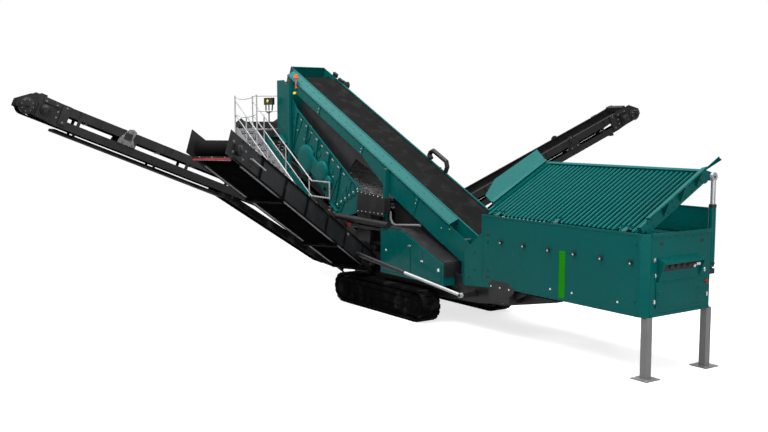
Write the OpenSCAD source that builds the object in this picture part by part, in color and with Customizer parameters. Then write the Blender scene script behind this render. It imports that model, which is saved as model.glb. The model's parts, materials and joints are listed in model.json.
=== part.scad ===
// Tracked screening plant: feed hopper with tipping grid, main conveyor, inclined screen box,
// tail conveyor and three side conveyors, on a crawler chassis.
// x runs along the machine and is negative towards the rear, the near side is -y, z is up.

/* [Chassis and tracks] */
// Height of a track from the ground to the top of its shoes
track_height = 800; // [740:10:820]
// Overall length of a track
track_length = 4100; // [3800:10:4300]
// Width of a track shoe
shoe_width = 500; // [420:10:520]
// Middle of the tracks along the machine
track_mid_x = -8300; // [-8350:10:-8250]
// Middle of one track from the centre line
track_mid_y = 1200; // [1180:10:1230]
// Underside of the two chassis beams
chassis_low = 840; // [830:5:860]
// Top of the two chassis beams
chassis_top = 1080; // [1060:5:1100]
// Outer face of a chassis beam from the centre line
chassis_half = 680; // [660:5:700]
// Width of a chassis beam
beam_width = 200; // [150:10:220]

/* [Hopper] */
// Height of the hopper rim above the ground
rim_height = 2800; // [2700:10:2900]
// Lower edge of the hopper side plates
skirt_low = 1200; // [1180:5:1240]
// Outer face of a hopper side plate from the centre line
hopper_half = 1034; // [1020:2:1060]
// Length of the hopper rim
hopper_length = 4650; // [4600:10:4700]
// Thickness of the hopper plates
plate = 10; // [8:1:14]
// Side of the square support legs
leg_side = 150; // [120:10:170]
// Side of the square foot plates
foot_side = 400; // [300:10:450]

/* [Tipping grid] */
// Rest angle of the grid
grid_tilt = 29; // [26:0.5:31]
// Width of the grid up its slope
grid_width = 2250; // [2220:10:2270]
// Number of grid bars
grid_bars = 34; // [24:1:38]
// Depth of the grid frame
grid_depth = 120; // [100:5:140]
// Radius of the hinge pins
pin_r = 25; // [20:1:30]

/* [Main conveyor] */
// Slope of the main conveyor
main_slope = 26; // [25.5:0.1:26.5]
// Distance between the main conveyor drums
main_length = 10350; // [10300:10:10400]
// Width of the main belt
main_belt_width = 1050; // [900:10:1080]

/* [Screen box] */
// Slope of the screen box and of the stairs beside it
screen_slope = 32.7; // [32.2:0.1:33]
// Depth of the screen box across its slope
screen_depth = 1235; // [1150:5:1245]
// Outer face of a screen side plate from the centre line
screen_half = 862; // [855:1:866]
// Thickness of a screen side plate
screen_plate = 12; // [10:1:16]

/* [Tail conveyor] */
// Distance between the tail conveyor drums
tail_length = 9000; // [8600:10:9200]
// Slope of the tail conveyor
tail_slope = 20.9; // [20.4:0.1:21.2]
// Width of the tail belt
tail_belt_width = 1200; // [1000:10:1220]

/* [Side conveyors] */
// Distance between the drums of the rear near conveyor
rear_length = 8560; // [8000:10:9000]
// Distance between the drums of the front near conveyor
front_length = 7350; // [7000:10:7600]
// Distance between the drums of the far conveyor
far_length = 8640; // [8000:10:9000]
// Width of the rear and far side belts
side_belt_width = 650; // [550:10:700]
// Width of the front side belt
front_belt_width = 750; // [650:10:780]

/* [Walkways] */
// Width of a stair
stair_width = 640; // [560:10:700]
// Height of the handrail above the treads
rail_height = 850; // [800:10:950]
// Radius of the handrail tube
rail_r = 21; // [17:1:24]

/* [Hidden] */
$fn = 48;

// Colours of the finishes
teal = [0.05, 0.40, 0.36];
black = [0.13, 0.13, 0.14];
rubber = [0.18, 0.18, 0.18];
grey = [0.45, 0.45, 0.45];
zinc = [0.68, 0.69, 0.70];

// Gap between a curved face and what it runs on
seat = 0.3;
// Thickness of every conveyor belt
belt_t = 12;

// Hopper stations
end_x = 60;
bearer_low = skirt_low;
bearer_top = skirt_low + 140;
bearer_in = 815;
bearer_out = 880;
leg_y = 890;
outrigger_x = [-4300, -3700];
wing_x = -5250;
wing_end_x = -5600;
corner_cut = 140;
end_half = hopper_half - corner_cut - plate * sin(45);
hood_reach = 190;

// Feeder
feeder_x = [-4250, -560];
feeder_z = 2050;
feeder_r = 150;
feeder_half = 560;
feeder_belt_width = 1000;
feeder_posts = [-3600, -2200, -760];

// Main conveyor: tail drum centre, drum radius and section
main_tail = [-4600, 0, 1490];
main_r = 200;
main_rail_y = 590;
main_web_y = 800;
main_rail_top = 330;
main_ledge = 200;
main_low = -390;
main_start = -250;
main_over = 250;

// Screen box: lower end of the bottom edge of its side plates
screen_foot = [-10900, 0, 2200];
screen_nose = -574;
screen_bottom_end = 4454;
screen_back_x = -14650;
screen_back_top = 6150;

// Screen subframe beam, in the frame of the screen box
sub_low = -820;
sub_top = -500;
sub_in = 880;
sub_out = 980;
sub_end = 5000;

// Tail conveyor
tail_foot = [-9300, 0, 1450];
tail_half = 700;
tail_r = 200;

// Side conveyors: tail drum centre, heading in plan and slope
rear_foot = [-10620, -1400, 1960];
rear_heading = -97;
rear_slope = 22.6;
front_foot = [-9430, -1330, 1125];
front_heading = -58;
front_slope = 25.9;
far_foot = [-10790, 1430, 1485];
far_heading = 80;
far_slope = 24.7;
side_r = 180;
side_half = 430;
front_half = 455;

// Section of the side and tail conveyor frames
channel_depth = 190;
plate_drop = channel_depth + 40;
skirt_gap = 140;
skirt_depth = 215;
web_t = 8;
flange = 60;
frame_pitch = 1400;
end_reach = 240;
head_drop = 60;

// Strut between the chassis and the front side conveyor
strut_x = -5000;
strut_z = chassis_low + 70;
strut_arm = 1290;
strut_reach = 120;
strut_pin = 30;
strut_at = 1100;

// Stairs
tread_run = 280;
tread_rise = tread_run * tan(screen_slope);
tread_count = 14;
landing_x = -16060;
landing_z = 4650;
stair_in = sub_out;
stringer = 10;
landing_length = 120;
platform_in = 550;
platform_length = 900;

// Tipping grid hinge line and ram pivots, in the y-z plane
hinge_y = -965;
hinge_z = rim_height - 10;
grid_x = [-4560, -180];
ram_y = 1200;
ram_foot_z = 1900;
ram_head_z = 3800;
ram_x = [-4590, -150];
ram_r = 50;
rod_r = 30;
open_pivot = 22;

// The frame's origin: middle of the box round the part, on the ground
function reach(foot, heading, slope, length) =
  foot + length * [cos(heading) * cos(slope), sin(heading) * cos(slope), sin(slope)];
function frame_reach(length, slope) = (length + end_reach) * cos(slope) + head_drop * sin(slope);
function frame_y(foot, heading, slope, length) =
  foot.y + frame_reach(length, slope) * sin(heading)
  + sign(sin(heading)) * (side_half + web_t) * abs(cos(heading));
mid_x = (end_x + hood_reach + tail_foot.x - frame_reach(tail_length, tail_slope)) / 2;
mid_y = (frame_y(rear_foot, rear_heading, rear_slope, rear_length)
  + frame_y(far_foot, far_heading, far_slope, far_length)) / 2;

// Moves the machine frame to the part's own frame
module machine() translate([-mid_x, -mid_y, 0]) children();

// Box between two corners
module box(low, high) translate(low) cube(high - low);

// A shape and its mirror image on the other side of the centre line
module both_sides() {
  children();
  mirror([0, 1, 0]) children();
}

// Extrudes a y-z outline along x
module along_x(from, to) translate([from, 0, 0]) rotate([90, 0, 90]) linear_extrude(to - from) children();

// Extrudes an x-z outline along y
module along_y(from, to) translate([0, to, 0]) rotate([90, 0, 0]) linear_extrude(to - from) children();

// Local frame of a conveyor: x along the belt to its head, z square to the belt
module on_conveyor(foot, heading, slope)
  translate(foot) rotate([0, 0, heading]) rotate([0, -slope, 0]) children();

module on_main() on_conveyor(main_tail, 180, main_slope) children();
module on_screen() on_conveyor(screen_foot, 180, screen_slope) children();
module on_tail() on_conveyor(tail_foot, 180, tail_slope) children();
module on_rear() on_conveyor(rear_foot, rear_heading, rear_slope) children();
module on_front() on_conveyor(front_foot, front_heading, front_slope) children();
module on_far() on_conveyor(far_foot, far_heading, far_slope) children();

// Outline of a bent sheet that follows points, with its thickness on their left
function left_of(a, b) = let (d = (b - a) / norm(b - a)) [-d.y, d.x];
function miter(p, i) =
  i == 0 ? left_of(p[0], p[1]) :
  i == len(p) - 1 ? left_of(p[i - 1], p[i]) :
  let (m = left_of(p[i - 1], p[i]), n = left_of(p[i], p[i + 1])) (m + n) / (1 + m * n);
module sheet(p, t) polygon(concat(p, [for (i = [len(p) - 1 : -1 : 0]) p[i] + t * miter(p, i)]));

// Round bar between two points
module bar(a, b, r, sides = 12) {
  d = b - a;
  translate(a) rotate([0, acos(d.z / norm(d)), atan2(d.y, d.x)]) cylinder(r = r, h = norm(d), $fn = sides);
}

// Solid with two round ends round two drum centres
module loop_solid(length, radius, width) {
  rotate([90, 0, 0]) cylinder(r = radius, h = width, center = true);
  translate([length, 0, 0]) rotate([90, 0, 0]) cylinder(r = radius, h = width, center = true);
  translate([0, -width / 2, -radius]) cube([length, width, 2 * radius]);
}

// Endless belt round two drums of one radius
module belt_loop(length, drum_r, width) difference() {
  loop_solid(length, drum_r + seat + belt_t, width);
  loop_solid(length, drum_r + seat, width + 2);
}

// Pair of drums whose shafts reach the frame plates at half the frame's width
module drum(drum_r, face, half) rotate([90, 0, 0]) {
  cylinder(r = drum_r, h = face, center = true);
  cylinder(r = 45, h = 2 * half, center = true);
}
module drum_pair(length, drum_r, face, half) for (x = [0, length])
  translate([x, 0, 0]) drum(drum_r, face, half);

// Frame of a side or tail conveyor: channels, skirt boards on posts, end plates and cross tubes
foot_plate = 360;
head_plate = 960;
module side_plates(length, half) both_sides() {
  box([-end_reach, half, -channel_depth], [length - 700, half + web_t, 0]);
  box([-end_reach, half - flange, -channel_depth], [length - 700, half + 1, -channel_depth + web_t]);
  box([200, half, skirt_gap], [length - 250, half + web_t, skirt_gap + skirt_depth]);
  for (x = [300 : frame_pitch : length - 900])
    box([x, half, -10], [x + 80, half + web_t, skirt_gap + 10]);
  box([-end_reach, half, -plate_drop], [foot_plate, half + web_t, 260]);
  along_y(half, half + web_t) polygon([
    [length - head_plate, -channel_depth], [length - head_plate + 180, -channel_depth], [length - 200, -140],
    [length + end_reach, -head_drop], [length + end_reach, 120], [length - 80, skirt_gap + skirt_depth + 30],
    [length - head_plate, skirt_gap + skirt_depth]]);
}
module cross_tubes(length, half) {
  for (x = [400 : frame_pitch : length - 900])
    box([x, -half - 1, -110], [x + 60, half + 1, -50]);
  box([-end_reach, -half - 1, -60], [-end_reach + 20, half + 1, 60]);
}
module conveyor_frame(length, half) {
  side_plates(length, half);
  cross_tubes(length, half);
}

// The front side conveyor has plain solid side plates
front_top = 280;
front_over = 370;
module front_frame(length, half) {
  both_sides() {
    box([-end_reach, half, -plate_drop], [length + front_over, half + web_t, front_top]);
    box([-end_reach, half - flange, -plate_drop], [length - 300, half + 1, -plate_drop + web_t]);
  }
  cross_tubes(length, half);
}

// Space that a side or tail conveyor takes up, for cutting what carries it
module conveyor_envelope(length, half) both_sides()
  box([-end_reach, -1, -plate_drop], [length + end_reach, half + web_t, 700]);

// Chassis beams: rear end, front end and the depth of the front below the hopper
rear_x = -10700;
nose_x = -2600;
nose_low = 700;
module chassis() color(black) machine() {
  both_sides() {
    along_y(chassis_half - beam_width, chassis_half) polygon([
      [rear_x, chassis_low], [nose_x - 2700, chassis_low], [nose_x - 2600, nose_low],
      [nose_x - 1700, nose_low], [nose_x, chassis_top - 40], [nose_x, chassis_top], [rear_x, chassis_top]]);
    box([outrigger_x[0], chassis_half - 1, chassis_low + 30], [outrigger_x[1], hopper_half, bearer_top]);
    box([-8860, chassis_half - 1, chassis_low + 30], [-8540, 930, chassis_top]);
    box([rear_x, chassis_half - 1, chassis_low + 30], [-10050, sub_out, chassis_top]);
  }
  box([strut_x - 60, -strut_arm, chassis_low + 10], [strut_x + 60, -chassis_half + 1, chassis_low + 130]);
  translate([strut_x, -strut_arm, strut_z]) rotate([90, 0, 0]) cylinder(r = strut_pin, h = strut_reach);
  for (x = [rear_x + 200, -8800, -7000, -5200, nose_x - 900])
    box([x, -chassis_half + beam_width - 1, chassis_low + 40],
      [x + 180, chassis_half - beam_width + 1, chassis_top - 40]);
}

// Track frame beam with its sprocket, idler and two axles to the chassis
track_r = track_height / 2;
shoe_t = 28;
band_t = 34;
track_span = track_length - track_height;
track_in_r = track_r - shoe_t - band_t;
module track_frame() {
  translate([track_mid_x, track_mid_y, 0]) {
    box([-track_span / 2 + 250, -150, 210], [track_span / 2 - 250, 150, 590]);
    for (x = [-track_span / 2, track_span / 2]) translate([x, 0, track_r]) rotate([90, 0, 0]) {
      cylinder(r = track_in_r - seat, h = 180, center = true);
      cylinder(r = 120, h = 330, center = true);
    }
    for (side = [-155, 155])
      box([-track_span / 2, side - 12, track_r - 90], [track_span / 2, side + 12, track_r + 90]);
    for (x = [-900, 900]) box([x - 120, chassis_half - 90 - track_mid_y, 420], [x + 120, -140, 580]);
    for (x = [-900, 900])
      box([x - 120, chassis_half - 90 - track_mid_y, 420],
        [x + 120, chassis_half + 60 - track_mid_y, chassis_low]);
  }
}
module track_frames() color(black) machine() both_sides() track_frame();

// Track: a band with one raised shoe at each link, along the straight runs and round the ends
shoe_count = 21;
shoe_pitch = track_span / shoe_count;
end_shoes = 7;
end_shoe_r = sqrt(track_r * track_r - pow(shoe_pitch * 0.35, 2));
module track_outline() {
  difference() {
    union() {
      circle(track_in_r + band_t);
      translate([track_span, 0]) circle(track_in_r + band_t);
      translate([0, -track_in_r - band_t]) square([track_span, 2 * (track_in_r + band_t)]);
    }
    circle(track_in_r);
    translate([track_span, 0]) circle(track_in_r);
    translate([0, -track_in_r]) square([track_span, 2 * track_in_r]);
  }
  for (i = [0 : shoe_count - 1], side = [-1, 1])
    translate([(i + 0.5) * shoe_pitch, side * (track_r - (shoe_t + 8) / 2)])
      square([shoe_pitch * 0.8, shoe_t + 8], center = true);
  for (i = [0 : end_shoes - 1], end = [0, 1]) let (turn = 90 + (i + 0.5) * 180 / end_shoes)
    translate([end * track_span, 0]) rotate(turn + end * 180)
      translate([end_shoe_r - shoe_t / 2, 0]) square([shoe_t, shoe_pitch * 0.7], center = true);
}
module track_shoes() translate([track_mid_x - track_span / 2, 0, track_r])
  along_y(track_mid_y - shoe_width / 2, track_mid_y + shoe_width / 2) track_outline();
module track_shoes_near() color(rubber) machine() mirror([0, 1, 0]) track_shoes();
module track_shoes_far() color(rubber) machine() track_shoes();

// Housing beside the chassis, with a raised door on its face
housing_out = 1250;
housing_low = 1000;
housing_top = 2170;
housing_x = [-8400, -5780];
housing_slant = [-7500, 1530];
module housing() {
  along_y(chassis_half, housing_out) polygon([
    [housing_x[0], housing_low], [housing_x[1], housing_low], [housing_x[1], housing_slant[1]],
    [housing_slant[0], housing_top], [housing_x[0], housing_top]]);
  for (x = [housing_x[0] + 60, -7040]) let (w = x < -8000 ? 1240 : 1180, h = x < -8000 ? 900 : 420)
    box([x, housing_out - 1, housing_low + 80], [x + w, housing_out + 12, housing_low + 80 + h]);
}
module engine_housing() color(teal) machine() mirror([0, 1, 0]) housing();
module tank_housing() color(teal) machine() housing();

// Hopper side plate with its bent front wing and its chamfered corner
module hopper_side() intersection() {
  translate([0, 0, skirt_low - 200]) linear_extrude(rim_height - skirt_low + 200) sheet([
    [wing_end_x, hopper_half - 200], [wing_x, hopper_half], [end_x - corner_cut, hopper_half],
    [end_x, hopper_half - corner_cut]], -plate);
  along_y(0, 2 * hopper_half) difference() {
    polygon([
      [end_x, skirt_low], [end_x, rim_height], [-hopper_length, rim_height],
      [-hopper_length, rim_height - 420], [-hopper_length - 400, 2060], [wing_end_x, 1700],
      [wing_end_x, skirt_low - 50], [wing_x, skirt_low - 120], [outrigger_x[0] - 200, skirt_low - 60],
      [outrigger_x[1] + 100, skirt_low]]);
    translate([outrigger_x[0], 0]) square([outrigger_x[1] - outrigger_x[0], bearer_top]);
  }
}
module hopper_near_side() color(teal) machine() mirror([0, 1, 0]) hopper_side();
module hopper_far_side() color(teal) machine() hopper_side();

// End wall with its bearers under the hopper
module hopper_end_wall() color(teal) machine() {
  box([end_x - plate, -end_half, skirt_low], [end_x, end_half, rim_height]);
  both_sides() box([outrigger_x[1], bearer_in, bearer_low], [end_x - plate + 1, bearer_out, bearer_top]);
}

// Sloping plates inside the hopper
liner_low = feeder_z + feeder_r + 40;
liner_top = rim_height - 160;
liner_lip = 64;
module hopper_liner() color(teal) machine() {
  both_sides() along_x(outrigger_x[0], end_x - plate - 150) sheet([
    [hopper_half - plate, liner_top], [hopper_half - plate - liner_lip, liner_top],
    [feeder_half + 15, liner_low]], plate);
  along_y(-hopper_half + 170, hopper_half - 170) sheet([
    [end_x - plate, liner_top], [end_x - 200, liner_top], [feeder_x[1] - 60, liner_low]], plate);
}

module hopper_legs() color(grey) machine() both_sides() translate([0, leg_y, 0]) {
  box([-foot_side / 2, -foot_side / 2, 0], [foot_side / 2, foot_side / 2, 20]);
  box([-leg_side / 2, -leg_side / 2, 19], [leg_side / 2, leg_side / 2, skirt_low]);
}

// Feeder under the hopper: side plates on posts and cross beams that rest on the bearers
module feeder_frame() color(black) machine() {
  both_sides() {
    box([feeder_x[0] - 120, feeder_half, feeder_z - 150],
      [feeder_x[1] + 120, feeder_half + 10, feeder_z + 150]);
    for (x = feeder_posts) box([x, feeder_half, bearer_top], [x + 80, feeder_half + 80, feeder_z - 100]);
  }
  for (x = feeder_posts) box([x, -bearer_out, bearer_top], [x + 80, bearer_out, bearer_top + 100]);
}
module feeder_belt() color(rubber) machine() translate([feeder_x[0], 0, feeder_z])
  belt_loop(feeder_x[1] - feeder_x[0], feeder_r, feeder_belt_width);

// Hooded control box on the end wall
box_y = [-720, 480];
box_low = 1880;
hood_top = 2330;
hood_out = end_x + hood_reach - 6;
module control_box() color(teal) machine() {
  box([end_x, box_y[0] + 8, box_low], [end_x + 60, box_y[1] - 8, hood_top - 80]);
  along_y(box_y[0], box_y[1]) sheet([
    [end_x + 2, hood_top], [hood_out, hood_top - 60], [hood_out, hood_top - 110]], 6);
  for (y = [box_y[0], box_y[1] - 8]) along_y(y, y + 8) polygon([
    [end_x, box_low], [end_x + 60, box_low], [hood_out, hood_top - 130], [hood_out, hood_top - 60],
    [end_x, hood_top + 1]]);
}

// Grid frame: x along the hinge, u up the slope from the hinge line
module on_grid() translate([0, hinge_y, hinge_z]) rotate([grid_tilt, 0, 0]) children();
lug_x = [-4200, -2370, -540];
knuckle = 90;
lug_r = 55;
lug_t = 30;
lug_step = 75;
module hinge_pin(x, r, length)
  translate([x, 0, 0]) rotate([0, 90, 0]) cylinder(r = r, h = length, center = true);
module grid_hinges() color(black) machine() for (x = lug_x) {
  for (side = [-1, 1]) difference() {
    along_x(x + side * lug_step - lug_t / 2, x + side * lug_step + lug_t / 2) union() {
      translate([hinge_y, hinge_z]) circle(lug_r);
      translate([-hopper_half + plate, hinge_z - 130]) square([hopper_half - plate + hinge_y, 130]);
      translate([-hopper_half + plate, hinge_z]) square([hopper_half - plate + hinge_y, 10]);
    }
    translate([0, hinge_y, hinge_z]) hinge_pin(x, pin_r - 0.05, 300);
  }
  translate([0, hinge_y, hinge_z]) hinge_pin(x, pin_r - 0.05, 190);
}
bar_w = 60;
bar_top = 40;
bar_low = -20;
arm_w = 60;
far_beam = 80;
grid_inner = [grid_x[0] + arm_w, grid_x[1] - arm_w];
function bar_x(i) = grid_inner[0] + (i + 0.5) * (grid_inner[1] - grid_inner[0]) / grid_bars;
function near_lug(x) = min([for (l = lug_x) abs(x - l)]) < 160;
module tipping_grid() color(teal) machine() on_grid() {
  for (x = lug_x) difference() {
    union() {
      hinge_pin(x, 48, knuckle);
      box([x - knuckle / 2, 0, -40], [x + knuckle / 2, 110, 40]);
    }
    hinge_pin(x, pin_r, 300);
  }
  box([grid_x[0], 90, -grid_depth / 2], [grid_x[1], 190, bar_top - 30]);
  box([grid_x[0], grid_width - far_beam, -grid_depth / 2], [grid_x[1], grid_width, 85]);
  for (x = [grid_x[0], grid_x[1] - arm_w]) box([x, 90, -grid_depth / 2], [x + arm_w, grid_width, 85]);
  for (i = [0 : grid_bars - 1]) let (x = bar_x(i))
    box([x - bar_w / 2, near_lug(x) ? 120 : 10, bar_low],
      [x + bar_w / 2, grid_width - far_beam + 10, bar_top]);
  for (u = [700, 1400]) box([grid_inner[0] - 20, u, -70], [grid_inner[1] + 20, u + 60, -10]);
}

// Flared plates at both ends of the grid, and the lugs and pins that the rams push
ram_u = (ram_y - hinge_y) * cos(grid_tilt) + (ram_head_z - hinge_z) * sin(grid_tilt);
ram_w = (ram_head_z - hinge_z) * cos(grid_tilt) - (ram_y - hinge_y) * sin(grid_tilt);
wing_t = 12;
wing_flare = 54;
wing_low = 85;
lug_gap = 20;
module wing_plate() rotate([0, wing_flare, 0]) along_x(0, wing_t) polygon([
  [285, -wing_t], [grid_width - 55, -wing_t], [grid_width + 80, 440], [885, 500], [355, 320]]);
module ram_lug(x) along_x(x, x + 40) union() {
  translate([ram_u, ram_w]) circle(85);
  polygon([
    [grid_width - 150, -grid_depth / 2 + 1], [grid_width - 1, -grid_depth / 2 + 1], [grid_width - 1, 84],
    [ram_u + 60, ram_w + 60], [ram_u - 60, ram_w - 60]]);
}
module grid_wings() color(teal) machine() on_grid() {
  difference() {
    union() {
      translate([grid_x[1], 0, wing_low + wing_t]) wing_plate();
      translate([grid_x[0], 0, wing_low + wing_t]) mirror([1, 0, 0]) wing_plate();
    }
    box([grid_x[0] - 50, 0, -grid_depth / 2], [grid_x[1] + 50, 2 * grid_width, wing_low]);
  }
  difference() {
    union() {
      ram_lug(ram_x[0] + eye_w / 2 + lug_gap);
      ram_lug(ram_x[1] - eye_w / 2 - lug_gap - 40);
    }
    box([grid_x[0] - 1, 0, -grid_depth / 2], [grid_x[1] + 1, grid_width, 200]);
  }
  for (x = [ram_x[0] - 40, ram_x[1] - eye_w / 2 - lug_gap - 1]) translate([x, ram_u, ram_w])
    rotate([0, 90, 0]) cylinder(r = pin_r, h = eye_w / 2 + lug_gap + 41);
}

// Rams: foot brackets with pins, barrels on the pins, rods with an open eye round the pins of the grid
eye_w = 60;
module ram_brackets() color(black) machine() {
  for (x = ram_x) translate([x, ram_y, ram_foot_z]) rotate([0, 90, 0])
    translate([0, 0, -eye_w / 2 - 6]) cylinder(r = pin_r - 0.05, h = eye_w + 15);
  for (x = ram_x) box([x + eye_w / 2 + 6, hopper_half, ram_foot_z - 60],
    [x + eye_w / 2 + 36, ram_y + 45, ram_foot_z + 45]);
}
module ram_barrels() color(teal) machine() for (x = ram_x) translate([x, ram_y, ram_foot_z]) difference() {
  union() {
    rotate([0, 90, 0]) cylinder(r = 60, h = eye_w, center = true);
    cylinder(r = eye_w / 2, h = 100);
    translate([0, 0, 70]) cylinder(r = ram_r, h = barrel_top - ram_foot_z - 70);
  }
  rotate([0, 90, 0]) cylinder(r = pin_r, h = 3 * ram_r, center = true);
  translate([0, 0, 120]) cylinder(r = rod_r, h = barrel_top - ram_foot_z);
}
barrel_top = 3250;
rod_low = ram_foot_z + 590;
module ram_rods() color(zinc) machine() for (x = ram_x) translate([x, ram_y, 0]) difference() {
  union() {
    translate([0, 0, rod_low]) cylinder(r = rod_r - 0.05, h = ram_head_z - rod_low - pin_r - open_pivot - 10);
    translate([0, 0, ram_head_z]) hinge_pin(0, pin_r + open_pivot + 25, eye_w);
  }
  translate([0, 0, ram_head_z]) hinge_pin(0, pin_r + open_pivot, 2 * eye_w);
}

// Main conveyor: bent side frames with a sloping ledge, plain at the foot and shallow towards the head
ledge_from = 1744;
deep_to = 4200;
shallow_from = 5870;
shallow_low = -120;
main_end = main_length + main_over;
function main_at(s, w) = [
  main_tail.x - s * cos(main_slope) + w * sin(main_slope),
  main_tail.z + s * sin(main_slope) + w * cos(main_slope)];
module main_profile(from, to)
  rotate([90, 0, 90]) translate([0, 0, from]) linear_extrude(to - from) children();
module main_side() intersection() {
  union() {
    main_profile(ledge_from, main_end) sheet([
      [main_rail_y, main_ledge], [main_rail_y, main_rail_top], [main_web_y, main_ledge],
      [main_web_y, main_low], [main_rail_y + 10, main_low]], plate);
    main_profile(main_start, ledge_from + 10) translate([main_rail_y, shallow_low])
      square([plate, main_rail_top - shallow_low]);
    main_profile(ledge_from, ledge_from + 10) polygon([
      [main_rail_y, main_low], [main_rail_y, main_rail_top],
      [main_web_y, main_ledge], [main_web_y, main_low]]);
  }
  along_y(0, 2 * main_web_y) polygon([
    [main_start, main_low - 20], [deep_to, main_low - 20], [shallow_from, shallow_low],
    [main_end, shallow_low], [main_end, main_rail_top + 50], [main_start, main_rail_top + 50]]);
}
module main_frame_near() color(teal) machine() on_main() main_side();
module main_frame_far() color(teal) machine() on_main() mirror([0, 1, 0]) main_side();

// Cross tubes with the dark panels that close the space under the belt
panel_y = 700;
tray_y = 540;
tray_low = -470;
module main_cross_members() color(black) machine() {
  on_main() for (x = [500 : 1550 : main_length]) let (half = x < ledge_from ? main_rail_y : main_web_y)
    box([x, -half, -140], [x + 80, half, -60]);
  on_main() both_sides() {
    box([80, tray_y, tray_low], [3800, tray_y + web_t, -100]);
    box([80, tray_y, tray_low], [ledge_from - 20, main_rail_y + plate, tray_low + web_t]);
    box([80, main_rail_y + 2, tray_low], [ledge_from - 20, main_rail_y + plate, shallow_low]);
  }
  both_sides() along_y(panel_y, panel_y + web_t) polygon([
    main_at(main_length - 650, -100), main_at(5300, -100), main_at(5300, -330), main_at(6250, -420),
    main_at(6330, -640), screen_at(560, 1110), screen_at(3700, 1110)]);
}
module main_belt() color(rubber) machine() on_main() belt_loop(main_length, main_r, main_belt_width);
hood_t = 8;
hood_end = 500;
module main_head_hood() color(teal) machine() on_main() translate([main_length, 0, 0]) {
  box([hood_end, -main_rail_y, -100], [hood_end + hood_t, main_rail_y, main_rail_top]);
  both_sides() box([main_over, main_rail_y - hood_t, -100], [hood_end + hood_t, main_rail_y, main_rail_top]);
  both_sides() box([main_over, main_rail_y - 1, -100], [main_over + hood_t, main_web_y, main_ledge - 20]);
}
module main_posts() color(teal) machine() both_sides() {
  box([-8760, main_web_y + plate, chassis_top], [-8640, 930, 3650]);
  box([main_tail.x - 350, main_rail_y + plate, chassis_top], [main_tail.x, chassis_half, main_tail.z + 10]);
}

module inline_drums() color(grey) machine() {
  translate([feeder_x[0], 0, feeder_z])
    drum_pair(feeder_x[1] - feeder_x[0], feeder_r, feeder_belt_width - 40, feeder_half);
  on_main() translate([main_length, 0, 0]) drum(main_r, main_belt_width - 40, main_web_y);
  on_main() drum(main_r, main_belt_width - 40, main_rail_y);
  on_tail() drum_pair(tail_length, tail_r, tail_belt_width - 40, tail_half);
}

// Screen box side plate in the x-z plane, with its feed end upright
function screen_x(u, w) = screen_foot.x - u * cos(screen_slope) + w * sin(screen_slope);
function screen_z(u, w) = screen_foot.z + u * sin(screen_slope) + w * cos(screen_slope);
function screen_at(u, w) = [screen_x(u, w), screen_z(u, w)];
back_low = screen_foot.z + (screen_foot.x - screen_back_x) * tan(screen_slope);
module screen_outline() polygon([
  screen_at(0, 0), screen_at(screen_nose - 90, screen_depth - 560),
  screen_at(screen_nose - 120, screen_depth - 190),
  screen_at(screen_nose, screen_depth), screen_at(3762, screen_depth), [screen_back_x + 450, screen_back_top],
  [screen_back_x, screen_back_top], [screen_back_x, back_low]]);
rib_t = 18;
spring_u = [420, 3900];
bracket_w = 40;
module screen_side() {
  along_y(screen_half - screen_plate, screen_half) screen_outline();
  on_screen() mirror([0, 1, 0]) {
    for (u = [100 : 640 : 3700])
      box([u, screen_half - 1, 60], [u + 14, screen_half + rib_t, screen_depth - 60]);
    box([screen_nose + 30, screen_half - 1, screen_depth - 40],
      [3700, screen_half + rib_t, screen_depth - 26]);
    box([20, screen_half - 1, 20], [4300, screen_half + rib_t, 34]);
    for (u = spring_u) box([u - 220, screen_half - 1, bracket_w], [u + 220, sub_out - 1, bracket_w + 18]);
  }
}
module screen_near_side() color(teal) machine() mirror([0, 1, 0]) screen_side();
module screen_far_side() color(teal) machine() screen_side();

deck_in = screen_half - screen_plate;
module deck(w, from, to) on_screen() {
  for (y = [-deck_in : 2 * (deck_in - 20) / 6 : deck_in - 40]) box([from, y, w], [to, y + 40, w + 60]);
  for (u = [from : 150 : to - 30]) box([u, -deck_in, w + 40], [u + 30, deck_in, w + 75]);
}
module screen_top_deck() color(grey) machine() deck(880, -450, 3650);
module screen_bottom_deck() color(grey) machine() deck(420, -300, 3900);
module screen_cross_tubes() color(teal) machine() on_screen() {
  for (u = [300 : 840 : 3700], w = [330, 790]) translate([u, 0, w]) rotate([90, 0, 0])
    cylinder(r = 70, h = 2 * deck_in, center = true);
  translate([1900, 0, 610]) rotate([90, 0, 0]) cylinder(r = 120, h = 2 * deck_in, center = true);
}

// Rounded guard over the drive on the near side plate
guard_t = 100;
guard_r = 270;
module screen_drive_guard() color(teal) machine() on_screen()
  translate([0, screen_half + rib_t + guard_t, 0]) rotate([90, 0, 0]) linear_extrude(guard_t) {
    for (u = [1560, 2540]) translate([u, 330]) circle(guard_r);
    translate([1560, 330 - guard_r]) square([980, 2 * guard_r]);
  }
module screen_feed_box() color(teal) machine()
  box([screen_back_x, -deck_in, back_low + 200], [screen_back_x + 10, deck_in, screen_back_top - 30]);
module screen_springs() color(grey) machine() on_screen() both_sides() for (u = spring_u, step = [-130, 130])
  translate([u + step, (sub_in + sub_out) / 2, sub_top]) {
    cylinder(r = 34, h = bracket_w - sub_top);
    for (i = [0 : 6]) translate([0, 0, 20 + i * (bracket_w - sub_top - 40) / 7]) cylinder(r = 48, h = 30);
  }
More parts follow.
